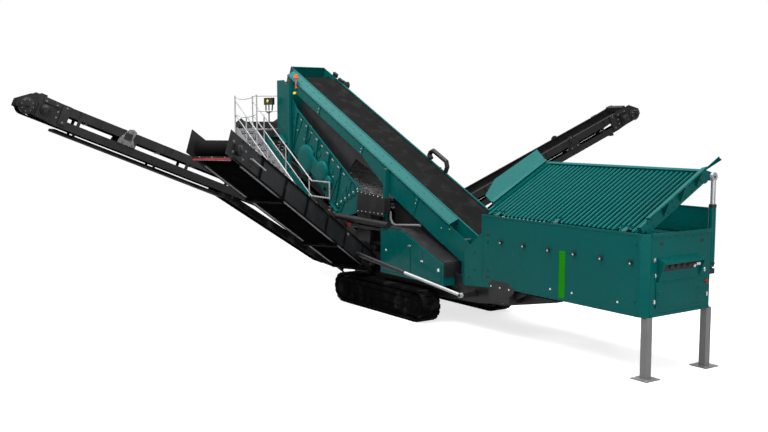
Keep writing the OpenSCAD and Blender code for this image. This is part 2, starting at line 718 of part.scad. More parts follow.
// Open chutes from the end of the screen down to the side conveyors
module chute() difference() {
  union() {
    along_y(735, 1150) polygon([[-9650, 1700], [-9050, 1700], [-8980, 2650], [-9650, 2650]]);
    box([-9030, chassis_half - 80, chassis_top], [-8960, chassis_half, 1800]);
    box([-9100, chassis_half - 80, 1720], [-8960, 745, 1800]);
  }
  along_y(745, 1140) polygon([[-9640, 1600], [-9060, 1600], [-8990, 2700], [-9640, 2700]]);
}
module screen_chutes() color(black) machine() both_sides() chute();

// Inclined beams that carry the screen, the stairs, the tail conveyor and the main conveyor's head
module screen_subframe() color(teal) machine() {
  both_sides() {
    difference() {
      on_screen() box([-1500, -sub_out, sub_low], [sub_end, -sub_in, sub_top]);
      box([-12500, 0, 0], [-8000, 2000, chassis_top]);
      box([-12500, -2000, 0], [-8000, 0, chassis_top]);
    }
    box([-14700, tail_half + web_t, 3300], [-14640, sub_in + 1, 3950]);
    difference() {
      box([-13800, sub_in + 10, 3000], [-13700, sub_out - 10, 6050]);
      on_screen() box([0, -sub_out, -2000], [sub_end, sub_out, sub_top - 1]);
    }
    box([-13800, main_web_y + plate, 5780], [-13700, sub_in + 11, 6040]);
  }
  on_screen() box([sub_end - 160, -sub_in - 1, sub_top - 120], [sub_end - 40, sub_in + 1, sub_top]);
}

module tail_frame() color(black) machine() {
  on_tail() conveyor_frame(tail_length, tail_half);
  both_sides() difference() {
    box([rear_x + 400, chassis_half - 60, chassis_top], [rear_x + 500, chassis_half, 2200]);
    on_tail() conveyor_envelope(tail_length, tail_half);
  }
}
module tail_belt() color(rubber) machine() on_tail() belt_loop(tail_length, tail_r, tail_belt_width);

module rear_side_frame() color(black) machine() on_rear() conveyor_frame(rear_length, side_half);
module rear_side_belt() color(rubber) machine() on_rear() belt_loop(rear_length, side_r, side_belt_width);
module front_side_frame() color(black) machine() on_front() {
  front_frame(front_length, front_half);
  translate([strut_at, front_half, -channel_depth / 2]) rotate([-90, 0, 0])
    cylinder(r = strut_pin, h = web_t + strut_reach);
}
module front_side_belt() color(rubber) machine() on_front() belt_loop(front_length, side_r, front_belt_width);
module far_side_frame() color(black) machine() on_far() conveyor_frame(far_length, side_half);
module far_side_belt() color(rubber) machine() on_far() belt_loop(far_length, side_r, side_belt_width);
module side_drums() color(grey) machine() {
  on_rear() drum_pair(rear_length, side_r, side_belt_width - 40, side_half);
  on_front() drum_pair(front_length, side_r, front_belt_width - 40, front_half);
  on_far() drum_pair(far_length, side_r, side_belt_width - 40, side_half);
}
scraper_at = 90;
scraper_top = -side_r - 20;
module belt_scraper() color(black) machine() on_front() translate([front_length + scraper_at, 0, 0])
  box([0, -front_half, scraper_top - 60], [30, front_half, scraper_top]);

// Brackets from the chassis and the subframe to the feet of the side conveyors
module side_brackets() color(black) machine() {
  difference() {
    union() {
      box([rear_foot.x - 470, rear_foot.y + 70, 1250], [rear_foot.x + 470, rear_foot.y + 170, 1900]);
      box([rear_foot.x - 80, rear_foot.y + 80, 1250], [rear_foot.x + 80, -sub_out, 1420]);
    }
    on_rear() conveyor_envelope(rear_length, side_half);
  }
  difference() {
    box([-9290, -970, chassis_low + 20], [-9060, -chassis_half, chassis_top]);
    on_front() conveyor_envelope(front_length, front_half);
  }
  difference() {
    union() {
      box([far_foot.x - 470, far_foot.y - 170, 1050], [far_foot.x + 470, far_foot.y - 70, 1500]);
      box([far_foot.x - 80, sub_out, 1050], [far_foot.x + 80, far_foot.y - 80, 1200]);
    }
    on_far() conveyor_envelope(far_length, side_half);
  }
}

// Telescopic strut from the chassis to the front side conveyor
strut_foot = [strut_x, -strut_arm - strut_reach / 2, strut_z];
strut_head = reach(front_foot, front_heading, front_slope, strut_at)
  + (front_half + web_t + strut_reach / 2) * [-sin(front_heading), cos(front_heading), 0]
  - channel_depth / 2 * [
    -cos(front_heading) * sin(front_slope), -sin(front_heading) * sin(front_slope), cos(front_slope)];
strut_mid = strut_foot + 0.52 * (strut_head - strut_foot);
strut_way = (strut_head - strut_foot) / norm(strut_head - strut_foot);
strut_gap = 0.1;
module strut_tube() color(black) machine() difference() {
  union() {
    bar(strut_mid, strut_head, 55, 48);
    on_front() translate([strut_at, front_half + web_t + 20, -channel_depth / 2]) rotate([-90, 0, 0])
      cylinder(r = 62, h = strut_reach - 40);
  }
  on_front() translate([strut_at, front_half, -channel_depth / 2]) rotate([-90, 0, 0])
    cylinder(r = strut_pin + seat, h = 2 * strut_reach);
}
module strut_rod() color(zinc) machine() difference() {
  union() {
    bar(strut_foot, strut_mid - strut_gap * strut_way, 40, 48);
    translate([strut_x, -strut_arm - 20, strut_z]) rotate([90, 0, 0]) cylinder(r = 55, h = strut_reach - 40);
  }
  translate([strut_x, -strut_arm, strut_z]) rotate([90, 0, 0])
    cylinder(r = strut_pin + seat, h = 2 * strut_reach, center = true);
}

// Stairs beside the screen, with a landing at the top
stair_out = stair_in + stair_width;
module stair() {
  for (y = [stair_in, stair_out - stringer]) along_y(y, y + stringer) polygon([
    [landing_x, landing_z - 220], [landing_x + landing_length, landing_z - 220],
    [landing_x + landing_length + tread_run * tread_count, landing_z - 220 - tread_rise * tread_count],
    [landing_x + landing_length + tread_run * tread_count, landing_z + 40 - tread_rise * tread_count],
    [landing_x + landing_length, landing_z + 40], [landing_x, landing_z + 40]]);
  box([landing_x, stair_in + stringer - 1, landing_z - 40],
    [landing_x + landing_length, stair_out - stringer + 1, landing_z]);
  box([landing_x, platform_in, landing_z - 40], [landing_x + platform_length, stair_in + 1, landing_z]);
  box([landing_x, stair_in, landing_z - 41], [landing_x + platform_length, stair_in + stringer, landing_z]);
  for (i = [1 : tread_count - 1])
    let (x = landing_x + landing_length + i * tread_run, z = landing_z - i * tread_rise)
    box([x - 250, stair_in + stringer - 1, z - 35], [x, stair_out - stringer + 1, z]);
}
module walkways() color(zinc) machine() both_sides() stair();

// Handrails: the outer one stands beside its stringer, the inner one on the treads, each with a tall
// first post, and the inner one with a level hoop at its foot
rail_bend = landing_x + landing_length;
rail_end = rail_bend + (tread_count - 1) * tread_run;
rail_gap = 450;
rail_posts = [3, 8, 13];
post_top = 1050;
function rail_z(x) = landing_z + rail_height - max(0, x - rail_bend) * tan(screen_slope);
module rail_run(y, drop) {
  module tube(a, b, r) bar([a.x, y, a.y], [b.x, y, b.y], r);
  for (low = [0, rail_gap]) let (r = low > 0 ? rail_r * 0.8 : rail_r) {
    tube([landing_x + 40, rail_z(landing_x) - low], [rail_bend + 10, rail_z(landing_x) - low], r);
    tube([rail_bend, rail_z(rail_bend) - low], [rail_end, rail_z(rail_end) - low], r);
  }
  tube([landing_x + 40, landing_z - drop], [landing_x + 40, landing_z + post_top], rail_r);
  for (i = rail_posts) let (x = rail_bend + i * tread_run - tread_run / 2)
    tube([x, landing_z - i * tread_rise - drop], [x, rail_z(x) + rail_r], rail_r);
}
hoop_length = 1000;
module rail_hoop(y) {
  z = [rail_z(rail_end), rail_z(rail_end) - rail_gap];
  x = rail_end + hoop_length;
  for (h = z) bar([rail_end - 10, y, h], [x, y, h], rail_r);
  bar([x, y, z[1] - rail_r], [x, y, z[0] + rail_r], rail_r);
}
module handrails() color(zinc) machine() both_sides() {
  rail_run(stair_out + rail_r + seat, 200);
  rail_run(stair_in + stringer + 30, 0);
  rail_hoop(stair_in + stringer + 30);
}

// Warning beacon on a pole beside the head of the main conveyor
beacon_at = main_at(main_length - 430, 40);
module beacon() color("orange") machine() translate([beacon_at.x, -main_web_y - plate - 30, beacon_at.y]) {
  box([-30, 0, 0], [30, 30, 60]);
  cylinder(r = 12, h = 300);
  translate([0, 0, 300]) cylinder(r = 60, h = 110);
}

chassis();
track_frames();
track_shoes_near();
track_shoes_far();
engine_housing();
tank_housing();
hopper_near_side();
hopper_far_side();
hopper_end_wall();
hopper_liner();
hopper_legs();
feeder_frame();
feeder_belt();
control_box();
grid_hinges();
tipping_grid();
grid_wings();
ram_brackets();
ram_barrels();
ram_rods();
main_frame_near();
main_frame_far();
main_cross_members();
main_belt();
main_head_hood();
main_posts();
inline_drums();
screen_near_side();
screen_far_side();
screen_top_deck();
screen_bottom_deck();
screen_cross_tubes();
screen_drive_guard();
screen_feed_box();
screen_springs();
screen_chutes();
screen_subframe();
tail_frame();
tail_belt();
rear_side_frame();
rear_side_belt();
front_side_frame();
front_side_belt();
far_side_frame();
far_side_belt();
side_drums();
belt_scraper();
side_brackets();
strut_tube();
strut_rod();
walkways();
handrails();
beacon();
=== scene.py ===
"""Looks of a tracked screening plant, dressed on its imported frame. Lengths are in metres."""
import json
import math

import bmesh
import bpy
from mathutils import Matrix, Vector


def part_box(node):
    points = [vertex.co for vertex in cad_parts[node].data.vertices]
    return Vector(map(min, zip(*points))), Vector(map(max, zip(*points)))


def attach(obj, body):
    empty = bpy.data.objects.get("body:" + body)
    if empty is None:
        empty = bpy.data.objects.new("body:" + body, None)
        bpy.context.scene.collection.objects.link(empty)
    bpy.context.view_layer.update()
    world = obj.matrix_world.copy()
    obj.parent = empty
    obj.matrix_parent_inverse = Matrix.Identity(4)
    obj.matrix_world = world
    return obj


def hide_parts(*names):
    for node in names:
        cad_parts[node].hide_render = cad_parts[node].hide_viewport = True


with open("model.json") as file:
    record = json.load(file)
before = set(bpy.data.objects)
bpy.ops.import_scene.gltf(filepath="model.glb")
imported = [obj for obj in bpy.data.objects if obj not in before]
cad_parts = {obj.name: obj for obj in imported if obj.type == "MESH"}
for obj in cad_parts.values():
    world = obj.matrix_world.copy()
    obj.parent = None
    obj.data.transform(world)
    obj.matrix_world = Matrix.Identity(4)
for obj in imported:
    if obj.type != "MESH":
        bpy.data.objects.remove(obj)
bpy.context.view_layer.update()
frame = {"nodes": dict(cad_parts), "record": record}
NODES = frame["nodes"]

# The machine's own axes start at the middle of the hopper legs, on the ground: x is negative to the rear
leg_low, leg_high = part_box("hopper_legs")
ORIGIN = Vector(((leg_low.x + leg_high.x) / 2, (leg_low.y + leg_high.y) / 2, 0))
MACHINE = Matrix.Translation(ORIGIN)

# Camera as fitted to the photograph
CAMERA_AT = Vector((11.77, -15.12, 4.944))
CAMERA_TURN = 55.28
CAMERA_DIP = 5.795
FOCAL_PIXELS = 951
IMAGE_WIDTH = 768
SENSOR = 36


def tilted(foot, heading, slope):
    """Frame of a conveyor: x along the belt to its head, z square to the belt."""
    turn = Matrix.Rotation(math.radians(heading), 4, "Z") @ Matrix.Rotation(math.radians(-slope), 4, "Y")
    return MACHINE @ Matrix.Translation(foot) @ turn


MAIN = tilted((-4.6, 0, 1.49), 180, 26)
SCREEN = tilted((-10.9, 0, 2.2), 180, 32.7)
TAIL = tilted((-9.3, 0, 1.45), 180, 20.9)
REAR = tilted((-10.62, -1.4, 1.96), -97, 22.6)
FRONT = tilted((-9.43, -1.33, 1.125), -58, 25.9)
FAR = tilted((-10.79, 1.43, 1.485), 80, 24.7)
GRID = MACHINE @ Matrix.Translation((0, -0.965, 2.79)) @ Matrix.Rotation(math.radians(29), 4, "X")

# Materials


def node_material(name):
    mat = bpy.data.materials.new(name)
    mat.use_nodes = True
    tree = mat.node_tree
    return mat, tree, tree.nodes["Principled BSDF"]


def noise(tree, scale, detail=4):
    coord = tree.nodes.new("ShaderNodeTexCoord")
    tex = tree.nodes.new("ShaderNodeTexNoise")
    tex.inputs["Scale"].default_value = scale
    tex.inputs["Detail"].default_value = detail
    tree.links.new(coord.outputs["Object"], tex.inputs["Vector"])
    return tex.outputs["Fac"]


def ramp(tree, value, stops):
    node = tree.nodes.new("ShaderNodeValToRGB")
    elements = node.color_ramp.elements
    elements[0].position, elements[1].position = stops[0][0], stops[-1][0]
    elements[0].color, elements[1].color = (*stops[0][1], 1), (*stops[-1][1], 1)
    for at, color in stops[1:-1]:
        elements.new(at).color = (*color, 1)
    tree.links.new(value, node.inputs["Fac"])
    return node.outputs["Color"]


def span(tree, value, low, high, start=0.3, stop=0.7):
    node = tree.nodes.new("ShaderNodeMapRange")
    node.inputs["From Min"].default_value = start
    node.inputs["From Max"].default_value = stop
    node.inputs["To Min"].default_value = low
    node.inputs["To Max"].default_value = high
    tree.links.new(value, node.inputs["Value"])
    return node.outputs["Result"]


def bump(tree, shader, value, strength, distance):
    node = tree.nodes.new("ShaderNodeBump")
    node.inputs["Strength"].default_value = strength
    node.inputs["Distance"].default_value = distance
    tree.links.new(value, node.inputs["Height"])
    tree.links.new(node.outputs["Normal"], shader.inputs["Normal"])


def scaled(color, factor):
    return tuple(min(1, c * factor) for c in color)


def finish(name, color, rough, metal=0.0, gloss=0.5, vary=0.12, grain=30, peel=0.15, dust=0.0):
    """Paint, rubber or metal with soft colour variation, uneven roughness, a fine skin and light dust."""
    mat, tree, shader = node_material(name)
    cloud = noise(tree, 1.6, 6)
    base = ramp(tree, cloud, [(0.25, scaled(color, 1 - vary)), (0.75, scaled(color, 1 + vary))])
    if dust:
        mix = tree.nodes.new("ShaderNodeMix")
        mix.data_type = "RGBA"
        mix.inputs["B"].default_value = (0.3, 0.29, 0.27, 1)
        tree.links.new(base, mix.inputs["A"])
        tree.links.new(span(tree, noise(tree, 3.1, 8), 0, dust, 0.52, 0.8), mix.inputs["Factor"])
        base = mix.outputs["Result"]
    tree.links.new(base, shader.inputs["Base Color"])
    tree.links.new(span(tree, noise(tree, 5), rough - 0.06, rough + 0.08), shader.inputs["Roughness"])
    shader.inputs["Metallic"].default_value = metal
    shader.inputs["Specular IOR Level"].default_value = gloss
    bump(tree, shader, noise(tree, grain, 3), peel, 0.002)
    return mat


TEAL = finish("teal_paint", (0.0005, 0.07, 0.066), 0.28, gloss=0.06, vary=0.06, dust=0.004)
BLACK = finish("black_paint", (0.011, 0.011, 0.012), 0.42, gloss=0.14, dust=0.03)
BELT = finish("belt_rubber", (0.009, 0.009, 0.009), 0.7, gloss=0.0, grain=80, peel=0.3, dust=0.03)
TRACK = finish("track_steel", (0.004, 0.004, 0.0045), 0.6, gloss=0.004, grain=60, peel=0.4, dust=0.08)
GREY = finish("grey_paint", (0.125, 0.125, 0.125), 0.4, gloss=0.3, dust=0.06)
DECK = finish("deck_steel", (0.2, 0.2, 0.2), 0.4, metal=0.8, dust=0.1)
ZINC = finish("galvanised", (0.27, 0.275, 0.28), 0.42, metal=0.3, grain=90, dust=0.04)
LAMP = finish("lamp_plastic", (0.9, 0.09, 0.008), 0.15, vary=0.04)
STEEL = finish("bright_steel", (0.5, 0.5, 0.5), 0.25, metal=0.9, vary=0.06)
GREEN = finish("green_strip", (0.008, 0.185, 0.0), 0.4, gloss=0.05, vary=0.05)
RED = finish("red_paint", (0.23, 0.002, 0.004), 0.4, gloss=0.3, vary=0.08)
YELLOW = finish("yellow_knob", (0.75, 0.5, 0.02), 0.3, vary=0.05)

SLOTS = {
    "teal_paint": TEAL, "black_paint": BLACK, "belt_rubber": BELT, "track_steel": TRACK,
    "grey_paint": GREY, "deck_steel": DECK, "galvanised": ZINC, "lamp_plastic": LAMP,
}


def dress_nodes():
    """Every CAD node takes the finish of its slot."""
    for part in frame["record"]["subparts"]:
        mesh = NODES[part["node"]].data
        mesh.materials.clear()
        mesh.materials.append(SLOTS[part["material_slot"]])


dress_nodes()

# Mesh building


def angles(count):
    return [math.tau * i / count for i in range(count)]


# Edges that turn by more than this stay sharp
SHARP = math.radians(32)


class Shape:
    """Gathers boxes, bars, plates and bolts in one frame, and makes one piece of them."""

    def __init__(self, at=MACHINE):
        self.bm = bmesh.new()
        self.at = at

    def skin(self, rings):
        """Faces round through rings of points, with a flat face at each end."""
        for low, high in zip(rings, rings[1:]):
            for i in range(len(low)):
                j = (i + 1) % len(low)
                self.bm.faces.new((low[i], low[j], high[j], high[i]))
        self.bm.faces.new(rings[0][::-1])
        self.bm.faces.new(rings[-1])

    def ring(self, points):
        return [self.bm.verts.new(self.at @ Vector(p)) for p in points]

    def box(self, low, high):
        """Box between two opposite corners, whichever way round they come."""
        x, y, z = zip(low, high)
        corners = [[(x[a], y[b], h) for a, b in ((0, 0), (1, 0), (1, 1), (0, 1))] for h in z]
        self.prism(*corners)

    def prism(self, low, high):
        """Solid between two outlines of the same number of points."""
        self.skin([self.ring(low), self.ring(high)])

    def plate(self, outline, along):
        """Flat outline in space, thickened along a vector."""
        self.prism(outline, [Vector(p) + Vector(along) for p in outline])

    def rod(self, a, b, r, sides=14):
        """Round bar between two points."""
        a, b = Vector(a), Vector(b)
        turn = (b - a).to_track_quat("Z", "Y")
        spokes = [turn @ Vector((math.cos(t), math.sin(t), 0)) for t in angles(sides)]
        self.prism([a + r * s for s in spokes], [b + r * s for s in spokes])

    def tube(self, points, r, sides=10):
        """Bent tube through points."""
        points = [Vector(p) for p in points]
        legs = [(b - a).normalized() for a, b in zip(points, points[1:])]
        rings = []
        side = legs[0].orthogonal()
        for i, p in enumerate(points):
            ways = legs[max(0, i - 1):i + 1]
            way = sum(ways, Vector()).normalized()
            side = (side - side.dot(way) * way).normalized()
            stretch = 1 / max(0.5, way.dot(ways[0]))
            up = way.cross(side)
            rings.append(self.ring([p + r * stretch * (math.cos(t) * side + math.sin(t) * up)
                                    for t in angles(sides)]))
        self.skin(rings)

    def bolt(self, at, way, r=0.022):
        """Hexagon head on a washer."""
        at, way = Vector(at), Vector(way).normalized()
        self.rod(at - 0.2 * r * way, at + 0.25 * r * way, 1.5 * r, 10)
        self.rod(at + 0.25 * r * way, at + 1.1 * r * way, r, 6)

    def turned(self, at, way, profile, sides=20):
        """Round body from (distance, radius) pairs along a direction."""
        at, way = Vector(at), Vector(way).normalized()
        turn = way.to_track_quat("Z", "Y")
        self.skin([self.ring([at + d * way + turn @ (r * Vector((math.cos(t), math.sin(t), 0)))
                              for t in angles(sides)]) for d, r in profile])

    def done(self, name, mat, body="plant", edge=0.0, replaces=(), slot=None):
        """Make the piece, soften its edges by a small width and let it ride its body."""
        bmesh.ops.recalc_face_normals(self.bm, faces=self.bm.faces)
        mesh = bpy.data.meshes.new(name)
        self.bm.to_mesh(mesh)
        self.bm.free()
        mesh.materials.append(mat)
        mesh.shade_smooth()
        mesh.set_sharp_from_angle(angle=SHARP)
        piece = bpy.data.objects.new(name, mesh)
        bpy.context.scene.collection.objects.link(piece)
        if edge:
            soften = piece.modifiers.new("soften", "BEVEL")
            soften.width = edge
            soften.segments = 2
            soften.limit_method = "ANGLE"
        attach(piece, body)
        if replaces:
            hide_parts(*replaces)


def spread(start, stop, count):
    return [start + (stop - start) * i / (count - 1) for i in range(count)]


# Side and tail conveyors: idlers, return rollers, bearings, bolts and skirts

REAR_LENGTH, FRONT_LENGTH, FAR_LENGTH, TAIL_LENGTH = 8.56, 7.35, 8.64, 9.0
WEB, BELT_THICK = 0.008, 0.012
PAN_FROM = 3.3

# Frame, length, half width, half belt width, drum radius, and whether the sides are whole plates
CONVEYORS = {
    "rear": (REAR, REAR_LENGTH, 0.43, 0.325, 0.18, False),
    "front": (FRONT, FRONT_LENGTH, 0.455, 0.375, 0.18, True),
    "far": (FAR, FAR_LENGTH, 0.43, 0.325, 0.18, False),
    "tail": (TAIL, TAIL_LENGTH, 0.7, 0.6, 0.2, False),
}


def conveyor_rollers(tag, place, length, half, belt, drum_r, solid):
    """Idlers between the belt runs and return rollers below them, with their brackets."""
    rollers, brackets = Shape(place), Shape(place)
    level = drum_r - 0.032
    for x in spread(0.5, length - 0.5, round(length)):
        rollers.rod((x, -belt + 0.02, level), (x, belt - 0.02, level), 0.03)
        for side in (-1, 1):
            y = side * (half - 0.04)
            brackets.box((x - 0.03, y - 0.006, level), (x + 0.03, y + 0.006, level + 0.12))
            rollers.rod((x, side * belt, level), (x, side * (half - 0.03), level), 0.014, 8)
    low = -drum_r - BELT_THICK - 0.05
    for x in [] if solid else spread(0.9, length - 1.0, round(length / 2)):
        # A pan carries the rear belt farther up
        if tag == "rear" and x > PAN_FROM:
            continue
        rollers.rod((x, -belt, low), (x, belt, low), 0.045)
        for side in (-1, 1):
            y = side * (half - 0.02)
            brackets.box((x - 0.03, y - 0.006, low - 0.03), (x + 0.03, y + 0.006, -0.12))
            rollers.rod((x, side * belt, low), (x, side * (half - 0.015), low), 0.014, 8)
    rollers.done(tag + "_idlers", BLACK, slot="black_paint")
    brackets.done(tag + "_idler_brackets", BLACK, edge=0.002, slot="black_paint")


def conveyor_fittings(tag, place, length, half, solid):
    """Bearing blocks, take-up screws and the bolts along the plates."""
    blocks, bolts = Shape(place), Shape(place)
    cap = [(0, 0.1), (0.07, 0.1), (0.09, 0.07), (0.1, 0.05)]
    low_row, high_row = (-0.18, 0.24) if solid else (-0.12, -0.035)
    head_bolts = ((-0.85, 0.3), (-0.5, 0.32), (-0.15, 0.3), (-0.6, -0.1))
    for side in (-1, 1):
        out, way = side * (half + WEB), (0, side, 0)
        for x in (0, length):
            blocks.box((x - 0.13, out, -0.075), (x + 0.13, out + side * 0.05, 0.075))
            blocks.turned((x, out, 0), way, cap)
            for dx, dz in ((-0.1, -0.05), (0.1, -0.05), (-0.1, 0.05), (0.1, 0.05)):
                bolts.bolt((x + dx, out + side * 0.05, dz), way, 0.014)
        blocks.rod((0.13, out + side * 0.03, 0), (0.42, out + side * 0.03, 0), 0.014, 10)
        blocks.box((0.34, out, -0.05), (0.37, out + side * 0.06, 0.05))
        for x in spread(-0.18, length - 0.9, 15):
            bolts.bolt((x, out, low_row), way, 0.012)
            bolts.bolt((x + 0.1, out, high_row), way, 0.012)
            if not solid and x > 0:
                bolts.bolt((x + 0.3, out, 0.19), way, 0.01)
                bolts.bolt((x + 0.3, out, 0.32), way, 0.01)
        for x, z in head_bolts:
            bolts.bolt((length + x, out, min(z, 0.24) if solid else z), way, 0.016)
    blocks.done(tag + "_bearings", BLACK, edge=0.004, slot="black_paint")
    bolts.done(tag + "_bolts", BLACK, slot="black_paint")


def conveyor_skirt(tag, place, length, half, belt):
    """Folded top edges of the skirt boards and the rubber strips that seal them on the belt."""
    folds, seals = Shape(place), Shape(place)
    for side in (-1, 1):
        out = side * (half + WEB)
        folds.box((0.2, side * (half - 0.05), 0.347), (length - 0.25, out, 0.355))
        for x in spread(0.3, length - 1.2, 7):
            folds.plate([(x, out, 0.15), (x, out, 0.35), (x, side * (half + 0.05), 0.35)], (0.012, 0, 0))
        strip = ((half - 0.001, 0.17), (half - 0.02, 0.17), (belt - 0.06, 0.198), (belt - 0.06, 0.21))
        seals.plate([(0.35, side * y, z) for y, z in strip], (length - 0.7, 0, 0))
    folds.done(tag + "_skirt_folds", BLACK, edge=0.002, slot="black_paint")
    seals.done(tag + "_skirt_rubber", BELT, slot="belt_rubber")


def dress_conveyors():
    for tag, (place, length, half, belt, drum_r, solid) in CONVEYORS.items():
        conveyor_rollers(tag, place, length, half, belt, drum_r, solid)
        conveyor_fittings(tag, place, length, half, solid)
        if not solid:
            conveyor_skirt(tag, place, length, half, belt)


dress_conveyors()

# Hopper: rim lips, corner folds, hooks, strip, door, legs

NEAR = -1.034
END = 0.06
HOOK_X = (-3.97, -3.25, -2.49, -1.76, -1.04, -0.28)
SIDE_RIVETS = ((-4.43, 1.55), (-4.43, 2.2), (-4.9, 1.5), (-4.9, 1.9), (-5.1, 1.3), (-0.18, 2.6),
               (-0.18, 1.5))


def dress_hopper():
    """Folded edges, hooks, rivets, slots and the green strip of the hopper."""
    folds, bolts, rivets, hooks = Shape(), Shape(), Shape(), Shape()
    for y, out in ((NEAR, -1), (-NEAR, 1)):
        face = y + out * 0.006
        folds.box((-4.65, y, 2.75), (-0.08, face, 2.799))
        for x, low in ((-4.62, 1.42), (-0.11, 1.22)):
            folds.box((x - 0.025, y, low), (x + 0.025, face, 2.75))
    folds.box((END, -0.88, 2.74), (END + 0.03, 0.88, 2.8))
    folds.box((END, -0.88, 1.2), (END + 0.02, 0.88, 1.26))
    # Raised board inside the far plate, clear of the rams
    folds.box((-4.6, 0.98, 2.66), (-0.08, 1.0235, 2.8))
    folds.box((-4.6, 0.98, 2.8), (-0.08, 0.99, 3.2))
    folds.box((-4.6, 0.96, 3.18), (-0.08, 0.98, 3.2))
    for z, thick in ((1.235, 0.02), (2.7, 0)):
        for y in spread(-0.82, 0.82, 8):
            rivets.bolt((END + thick, y, z), (1, 0, 0), 0.01)
    for x in HOOK_X:
        hooks.box((x - 0.025, NEAR - 0.05, 2.2), (x + 0.025, NEAR, 2.26))
        hooks.box((x - 0.018, NEAR - 0.05, 2.26), (x + 0.018, NEAR - 0.035, 2.31))
        bolts.bolt((x, NEAR - 0.05, 2.22), (0, -1, 0), 0.013)
    for x in spread(-3.5, -0.3, 14):
        rivets.bolt((x, NEAR, 1.24), (0, -1, 0), 0.01)
    for x, z in SIDE_RIVETS:
        rivets.bolt((x, NEAR, z), (0, -1, 0), 0.018)
    for x, z in ((-2.43, 1.407), (-1.81, 1.415), (-0.6, 1.42)):
        bolts.bolt((x, NEAR, z), (0, -1, 0), 0.016)
    folds.done("hopper_folds", TEAL, edge=0.004, slot="teal_paint")
    hooks.done("hopper_hooks", BLACK, edge=0.003, slot="black_paint")
    rivets.done("hopper_rivets", TEAL, slot="teal_paint")
    bolts.done("hopper_bolts", STEEL, slot="galvanised")

    slots = Shape()
    for x, z in ((-4.43, 2.347), (-4.43, 1.387)):
        slots.box((x - 0.07, NEAR - 0.002, z - 0.02), (x + 0.07, NEAR, z + 0.02))
    for y, z in ((-0.587, 2.593), (0.614, 2.583)):
        slots.box((END, y - 0.05, z - 0.03), (END + 0.002, y + 0.05, z + 0.03))
    slots.done("hopper_slots", BLACK, slot="black_paint")

    strip = Shape()
    strip.box((-2.19, NEAR - 0.004, 1.26), (-2.02, NEAR, 2.245))
    strip.done("green_strip", GREEN, edge=0.001)


def dress_end_wall():
    """Door with louvres and latches under the hooded panel, and the panel's knobs."""
    door, dark, bright, bolts = Shape(), Shape(), Shape(), Shape()
    door.box((END, -0.74, 1.36), (END + 0.025, 0.74, 1.87))
    door.box((END + 0.025, -0.7, 1.4), (END + 0.032, 0.7, 1.83))
    for y, wide in ((-0.7, 0.2), (0.47, 0.12)):
        for z in spread(1.48, 1.68, 5):
            louvre = [(END + 0.03, y, z), (END + 0.05, y, z - 0.012), (END + 0.03, y, z + 0.025)]
            door.plate(louvre, (0, wide, 0))
    dark.box((END + 0.06, -0.62, 2.07), (END + 0.066, 0.4, 2.24))
    for y in (-0.4, -0.22, -0.04, 0.14):
        dark.turned((END + 0.06, y, 2.15), (1, 0, 0), [(0, 0.035), (0.03, 0.035), (0.035, 0.025)], 14)
    knob = [(0, 0.02), (0.07, 0.02), (0.08, 0.035), (0.1, 0.03)]
    for y, z in ((0.22, 2.13), (0.3, 2.16), (0.36, 2.16)):
        bright.turned((END + 0.06, y, z), (1, 0, 0), knob, 12)
    for y, z in ((-0.76, 2.0), (0.692, 1.998), (-0.8, 2.3), (0.56, 2.1), (0.79, 1.5), (-0.79, 1.5)):
        bright.box((END, y - 0.02, z - 0.04), (END + 0.03, y + 0.02, z + 0.04))
        bolts.bolt((END + 0.03, y, z), (1, 0, 0), 0.012)
    stop = Shape()
    button = [(0, 0.04), (0.05, 0.04), (0.065, 0.028), (0.08, 0.03)]
    stop.turned((END, 0.743, 1.761), (1, 0, 0), button, 14)
    stop.done("stop_button", RED)
    door.done("end_door", TEAL, edge=0.004, slot="teal_paint")
    dark.done("control_panel", BLACK, edge=0.002, slot="black_paint")
    bright.done("latches", STEEL, edge=0.002, slot="galvanised")
    bolts.done("end_bolts", STEEL, slot="galvanised")


def dress_legs():
    """Collars under the hopper and bolts in the foot plates of the legs."""
    collars, pins = Shape(), Shape()
    for y in (-0.89, 0.89):
        collars.box((-0.09, y - 0.09, 1.19), (0.055, y + 0.09, 1.21))
        for a in (-0.15, 0.15):
            for b in (-0.15, 0.15):
                pins.bolt((a, y + b, 0.02), (0, 0, 1), 0.014)
    collars.done("leg_collars", TEAL, edge=0.004, slot="teal_paint")
    pins.done("foot_bolts", STEEL, slot="galvanised")


# Tipping grid

GRID_BARS = 34
GRID_X = (-4.56, -0.18)
ARM = 0.06
HINGE_X = (-4.2, -2.37, -0.54)
FLARE = math.radians(54)
# Folds of a flared end plate: two outlines each, as points for on_wing
WING_FOLDS = (
    ([(0.3, 0.02, 0), (2.19, 0.02, 0), (2.22, 0.12, 0), (0.31, 0.12, 0)],
     [(0.3, 0.02, -0.06), (2.19, 0.02, -0.06), (2.22, 0.12, -0.01), (0.31, 0.12, -0.01)]),
    ([(2.2, 0.03, 0), (2.325, 0.43, 0), (2.325, 0.43, 0.09), (2.2, 0.03, 0.03)],
     [(2.188, 0.03, 0), (2.313, 0.43, 0), (2.313, 0.43, 0.09), (2.188, 0.03, 0.03)]),
)


def on_wing(end, out, u, height, depth):
    """Point on a flared end plate: up the slope, up the plate and square to it."""
    x = depth * math.cos(FLARE) + height * math.sin(FLARE)
    return end + out * x, u, 0.097 + height * math.cos(FLARE) - depth * math.sin(FLARE)


